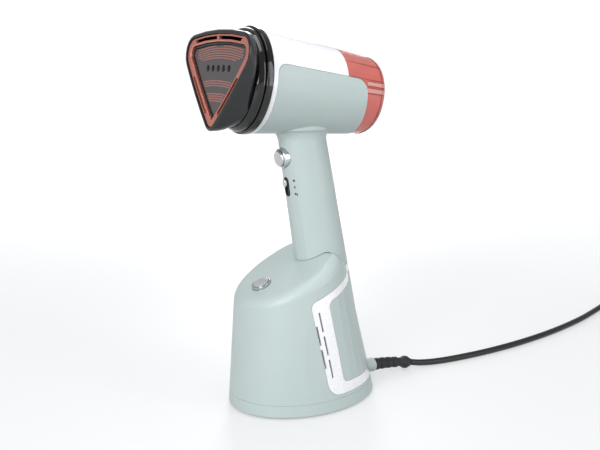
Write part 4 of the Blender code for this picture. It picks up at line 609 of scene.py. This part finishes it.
# %% Ink and the plate's outline
PLATE_FACE = 0.0353  # forward of the barrel's middle
FACE_SLACK = 0.0002  # a corner this far behind the face is still on it
MIDDLE_STRIP = 0.0005  # corners nearer the middle than this are not on the right edge

rose_ink, tree, shader, place = start_material("rose_ceramic_ink", "#DC8A7A", 0.35, Metallic=0.5)
flaked(tree, shader, place, 0.7, (0.3, 0.42), ("#E89A8A", "#D48373"))
plate_points = [vertex.co - BARREL_PLACE for vertex in NODES["soleplate"].data.vertices]
face_points = [point for point in plate_points if point.dot(BARREL_FORWARD) > PLATE_FACE - FACE_SLACK]
right_edge = sorted((point.dot(BARREL_UP), point.x) for point in face_points if point.x > MIDDLE_STRIP)


def half_width_at(up):
    """Half the plate's width at a height, from the corners of its flat face."""
    best = 0.0
    for (up_1, x_1), (up_2, x_2) in zip(right_edge, right_edge[1:]):
        if up_1 <= up <= up_2 and up_2 - up_1 > SAME_PLACE:
            best = max(best, x_1 + (x_2 - x_1) * (up - up_1) / (up_2 - up_1))
    return best


print("plate is", round(2000 * max(x for _, x in right_edge), 1), "mm wide")

# %% [markdown]
# ## Rows of dots
# Each row is laid out from the middle of the plate, with every other row half a step over. A dot that would
# come too near the edge of the plate is left out.

# %% Make the dots
DOT_RADIUS, DOT_THICKNESS, DOT_SIDES = 0.00060, 0.00008, 6
DOT_PITCH, ROW_PITCH = 0.0018, 0.0021
MOST_DOTS_A_SIDE = 24
ROW_BEND = 2.2  # how far a row falls at its ends: this times its half width squared
PLATE_MARGIN = 0.0022  # no dot's middle comes nearer the edge
DOT_BANDS = ((0.0292, 0.0165), (-0.0035, -0.0080), (-0.0150, -0.0420))  # the first and last row of each

dots = bmesh.new()
dot_count = 0
for band_top, band_end in DOT_BANDS:
    rows = round((band_top - band_end) / ROW_PITCH) + 1
    for row in range(rows):
        for k in range(-MOST_DOTS_A_SIDE, MOST_DOTS_A_SIDE + 1):
            x = (k + 0.5 * (row % 2)) * DOT_PITCH
            up = band_top - row * ROW_PITCH - ROW_BEND * x * x
            if abs(x) > half_width_at(up) - PLATE_MARGIN:
                continue
            add_disc(dots, on_barrel(x, up, PLATE_FACE), RIGHT, BARREL_UP, BARREL_FORWARD,
                     DOT_RADIUS, DOT_THICKNESS, DOT_SIDES)
            dot_count += 1
link("plate_dots", dots, rose_ink, "housing")
print(dot_count, "dots on the plate")

# %% [markdown]
# ## The gloss collar
# Two polished black rings join the head to the barrel. The rear one is a plain band with soft edges. The
# front one swells and then runs in to the head's neck in one smooth curve, which gives the long curved
# highlight. Both are turned here again with fine steps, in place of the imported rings.

# %% Turn the collar
BARREL_OVAL = 0.92  # width over height
COLLAR_STEPS = 128
COLLAR_SHARP_DEGREES = 40
COLLAR_INSIDE = 0.0405  # the radius of the hole through both rings


def turned_ring(name, node, profile, look):
    """A smooth ring round the barrel's axis, from (radius, forward) points, in place of a packed one."""
    bm = bmesh.new()
    rings = []
    for i in range(COLLAR_STEPS):
        angle = 2 * math.pi * i / COLLAR_STEPS
        across, up = BARREL_OVAL * math.cos(angle), math.sin(angle)
        rings.append([bm.verts.new(on_barrel(radius * across, radius * up, forward))
                      for radius, forward in profile])
    for a, b in zip(rings, [*rings[1:], rings[0]]):
        for k in range(len(profile)):
            m = (k + 1) % len(profile)
            bm.faces.new((a[k], a[m], b[m], b[k]))
    piece = link(name, bm, look, BODY_OF[node])
    piece.data.shade_smooth()
    piece.data.set_sharp_from_angle(angle=math.radians(COLLAR_SHARP_DEGREES))
    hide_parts(node)


def eased(start, bulge, end, count):
    """Points on a curve from one (radius, forward) point to another, drawn towards the one between."""
    made = []
    for i in range(count + 1):
        t = i / count
        shares = ((1 - t) ** 2, 2 * t * (1 - t), t * t)
        made.append(tuple(sum(share * part for share, part in zip(shares, parts))
                          for parts in zip(start, bulge, end)))
    return made


rear_outline = [
    (COLLAR_INSIDE, 0.0030),
    (0.0480, 0.0030),
    *eased((0.0483, 0.0031), (0.0490, 0.0031), (0.0490, 0.0040), 4),
    *eased((0.0490, 0.0082), (0.0490, 0.0094), (0.0480, 0.0096), 5),
    (0.0476, 0.0097),
    (COLLAR_INSIDE, 0.0097),
]
front_outline = [
    (COLLAR_INSIDE, 0.0100),
    (0.0466, 0.0100),
    *eased((0.0468, 0.0101), (0.0476, 0.0140), (0.0439, 0.0179), 14),
    (COLLAR_INSIDE, 0.0180),
]
turned_ring("collar_rear_polished", "collar_rear", rear_outline, black_gloss)
turned_ring("collar_front_polished", "collar_front", front_outline, black_gloss)
print("collar turned")

# %% [markdown]
# ## Lines in the tank
# The clear tank shows its own moulding: dark lines along each side, where its halves are welded, paler
# bands between them, and a line round the edge of its rear wall. Each is a thin strip that lies inside the
# wall, so it moves with the tank. The strips follow the barrel, which narrows towards the rear.

# %% Functions for strips in the tank's wall
BARREL_RADIUS, BARREL_TAPER = 0.0478, 0.0785  # at the barrel's middle, and its growth for each metre forward
TANK_FRONT, COVER_REAR, TANK_REAR = -0.0835, -0.1052, -0.1255
COVERED_BELOW = 21  # degrees above the middle, where the mint side covers overlap the tank
STRIP_DEPTH, STRIP_THICKNESS = 0.0001, 0.0004  # the depth is from the outside of the wall
RIDGE_STEPS, HOOP_STEPS = 14, 72


def on_tank(angle, forward, depth):
    """A point on the tank's right, at an angle above its middle and a depth below its outside."""
    radius = BARREL_RADIUS + BARREL_TAPER * forward
    x = (radius * BARREL_OVAL - depth) * math.cos(angle)
    return on_barrel(x, (radius - depth) * math.sin(angle), forward)


def add_strip(bm, rows):
    """A closed strip. Each row is its low edge, its high edge and the direction out of the surface."""
    rings = []
    for low, high, out in rows:
        inwards = out * STRIP_THICKNESS
        rings.append([bm.verts.new(point) for point in (low, high, high - inwards, low - inwards)])
    for a, b in zip(rings, rings[1:]):
        for i in range(4):
            j = (i + 1) % 4
            bm.faces.new((a[i], a[j], b[j], b[i]))
    bm.faces.new(rings[0][::-1])
    bm.faces.new(rings[-1])


def add_ridge(bm, side, degrees, width_degrees):
    """A strip along one side of the tank, at an angle above its middle. Side is 1 for right, -1 for left."""
    start = COVER_REAR if degrees < COVERED_BELOW else TANK_FRONT
    angle, half = math.radians(degrees), math.radians(width_degrees) / 2
    out = (BARREL_UP * math.sin(angle) + RIGHT * math.cos(angle)).normalized()
    rows = []
    for i in range(RIDGE_STEPS + 1):
        forward = start + (TANK_REAR - start) * i / RIDGE_STEPS
        low, high = (on_tank(angle + turn, forward, STRIP_DEPTH) for turn in (-half, half))
        rows.append([Vector((side * part.x, part.y, part.z)) for part in (low, high, out)])
    add_strip(bm, rows)


def add_hoop(bm, forward, width):
    """A ring round the tank, inside its wall."""
    back, front = forward - width / 2, forward + width / 2
    outer, inner = STRIP_DEPTH, STRIP_DEPTH + STRIP_THICKNESS
    rings = []
    for i in range(HOOP_STEPS):
        angle = 2 * math.pi * i / HOOP_STEPS
        corners = ((back, outer), (front, outer), (front, inner), (back, inner))
        rings.append([bm.verts.new(on_tank(angle, along, depth)) for along, depth in corners])
    for a, b in zip(rings, [*rings[1:], rings[0]]):
        for i in range(4):
            j = (i + 1) % 4
            bm.faces.new((a[i], a[j], b[j], b[i]))


print("tank is", round(1000 * (TANK_FRONT - TANK_REAR), 1), "mm long outside the white cover")

# %% [markdown]
# ## Weld lines and pale bands
# Where two clear walls meet, light passes through more plastic and the tint looks dark. Between the lines,
# bands of a paler coral lie along each side.

# %% Make the tank's lines
# Places are degrees above the middle of the tank's side, and widths are degrees round the tank.
WELD_DEGREES, WELD_WIDTH = (21.5, 19.0, 12.5, 10.0, 2.0), 0.7
TOP_WELD_DEGREES, TOP_WELD_WIDTH = 46.0, 0.6
BAND_DEGREES, BAND_WIDTH = (15.7, 6.0), 5.4
REAR_LINE, REAR_LINE_WIDTH = -0.1236, 0.0006  # forward of the barrel's middle, in metres

dark_coral, tree, shader, place = start_material("coral_weld_line", "#8E3E38", 0.25, IOR=1.54)
moulded_grain(tree, shader, place, 2.0, 0.004, (0.2, 0.3), ("#933F39", "#7F3530"))

# the paler coral of the bands that lie between the lines
pale_coral, tree, shader, place = start_material(
    "coral_pale_band", "#F3B5AD", 0.12, IOR=1.54, Transmission_Weight=0.3)
moulded_grain(tree, shader, place, 2.0, 0.004, (0.1, 0.18), ("#F6BDB6", "#EFACA3"))

dark = bmesh.new()
for side in (1, -1):
    for degrees in WELD_DEGREES:
        add_ridge(dark, side, degrees, WELD_WIDTH)
    add_ridge(dark, side, TOP_WELD_DEGREES, TOP_WELD_WIDTH)
add_hoop(dark, REAR_LINE, REAR_LINE_WIDTH)
link("tank_weld_lines", dark, dark_coral, "tank")

pale = bmesh.new()
for side in (1, -1):
    for degrees in BAND_DEGREES:
        add_ridge(pale, side, degrees, BAND_WIDTH)
link("tank_thin_band", pale, pale_coral, "tank")
print(2 * len(WELD_DEGREES) + 2, "weld lines and", 2 * len(BAND_DEGREES), "bands")

# %% [markdown]
# ## Marks beside the selector
# Small marks stand beside the slide switch: a dot, a bar, and a pair of bars. They are generic, and
# pad-printed in dark ink on the mint plastic. A ray from the front finds the handle's skin under each.

# %% Selector marks
RAY_START = -0.2  # in front of the handle
MARK_THICKNESS, MARK_SIDES = 0.00006, 12
MARKS = (  # place across, height, half the mark's width, half its height
    (0.0098, 0.2225, 0.0012, 0.0012),
    (0.0098, 0.2160, 0.0007, 0.0014),
    (0.0098, 0.2095, 0.0010, 0.0012),
    (0.0112, 0.2090, 0.0005, 0.0015),
)

mark_ink, tree, shader, place = start_material("dark_pad_print", "#2B2E31", 0.5)
moulded_grain(tree, shader, place, 0.8, 0.004, (0.45, 0.58), ("#2E3134", "#232629"))


def handle_hit(x, height):
    """The point of the handle's front at a place across it and a height, and the way its surface faces."""
    for node in ("body_right_finished", "body_left_finished"):
        piece = bpy.data.objects[node]
        hit, spot, normal, _ = piece.ray_cast(Vector((x, RAY_START, height)), Vector((0, 1, 0)))
        if hit:
            return spot, normal
    raise ValueError("no handle surface there")


marks = bmesh.new()
for x, height, half_width, half_height in MARKS:
    spot, normal = handle_hit(x, height)
    across = Vector((0, 0, 1)).cross(normal).normalized()
    add_disc(marks, spot, across * half_width / half_height, normal.cross(across), normal, half_height,
             MARK_THICKNESS, MARK_SIDES)
link("selector_marks", marks, mark_ink, "housing")
print(len(MARKS), "marks beside the selector")
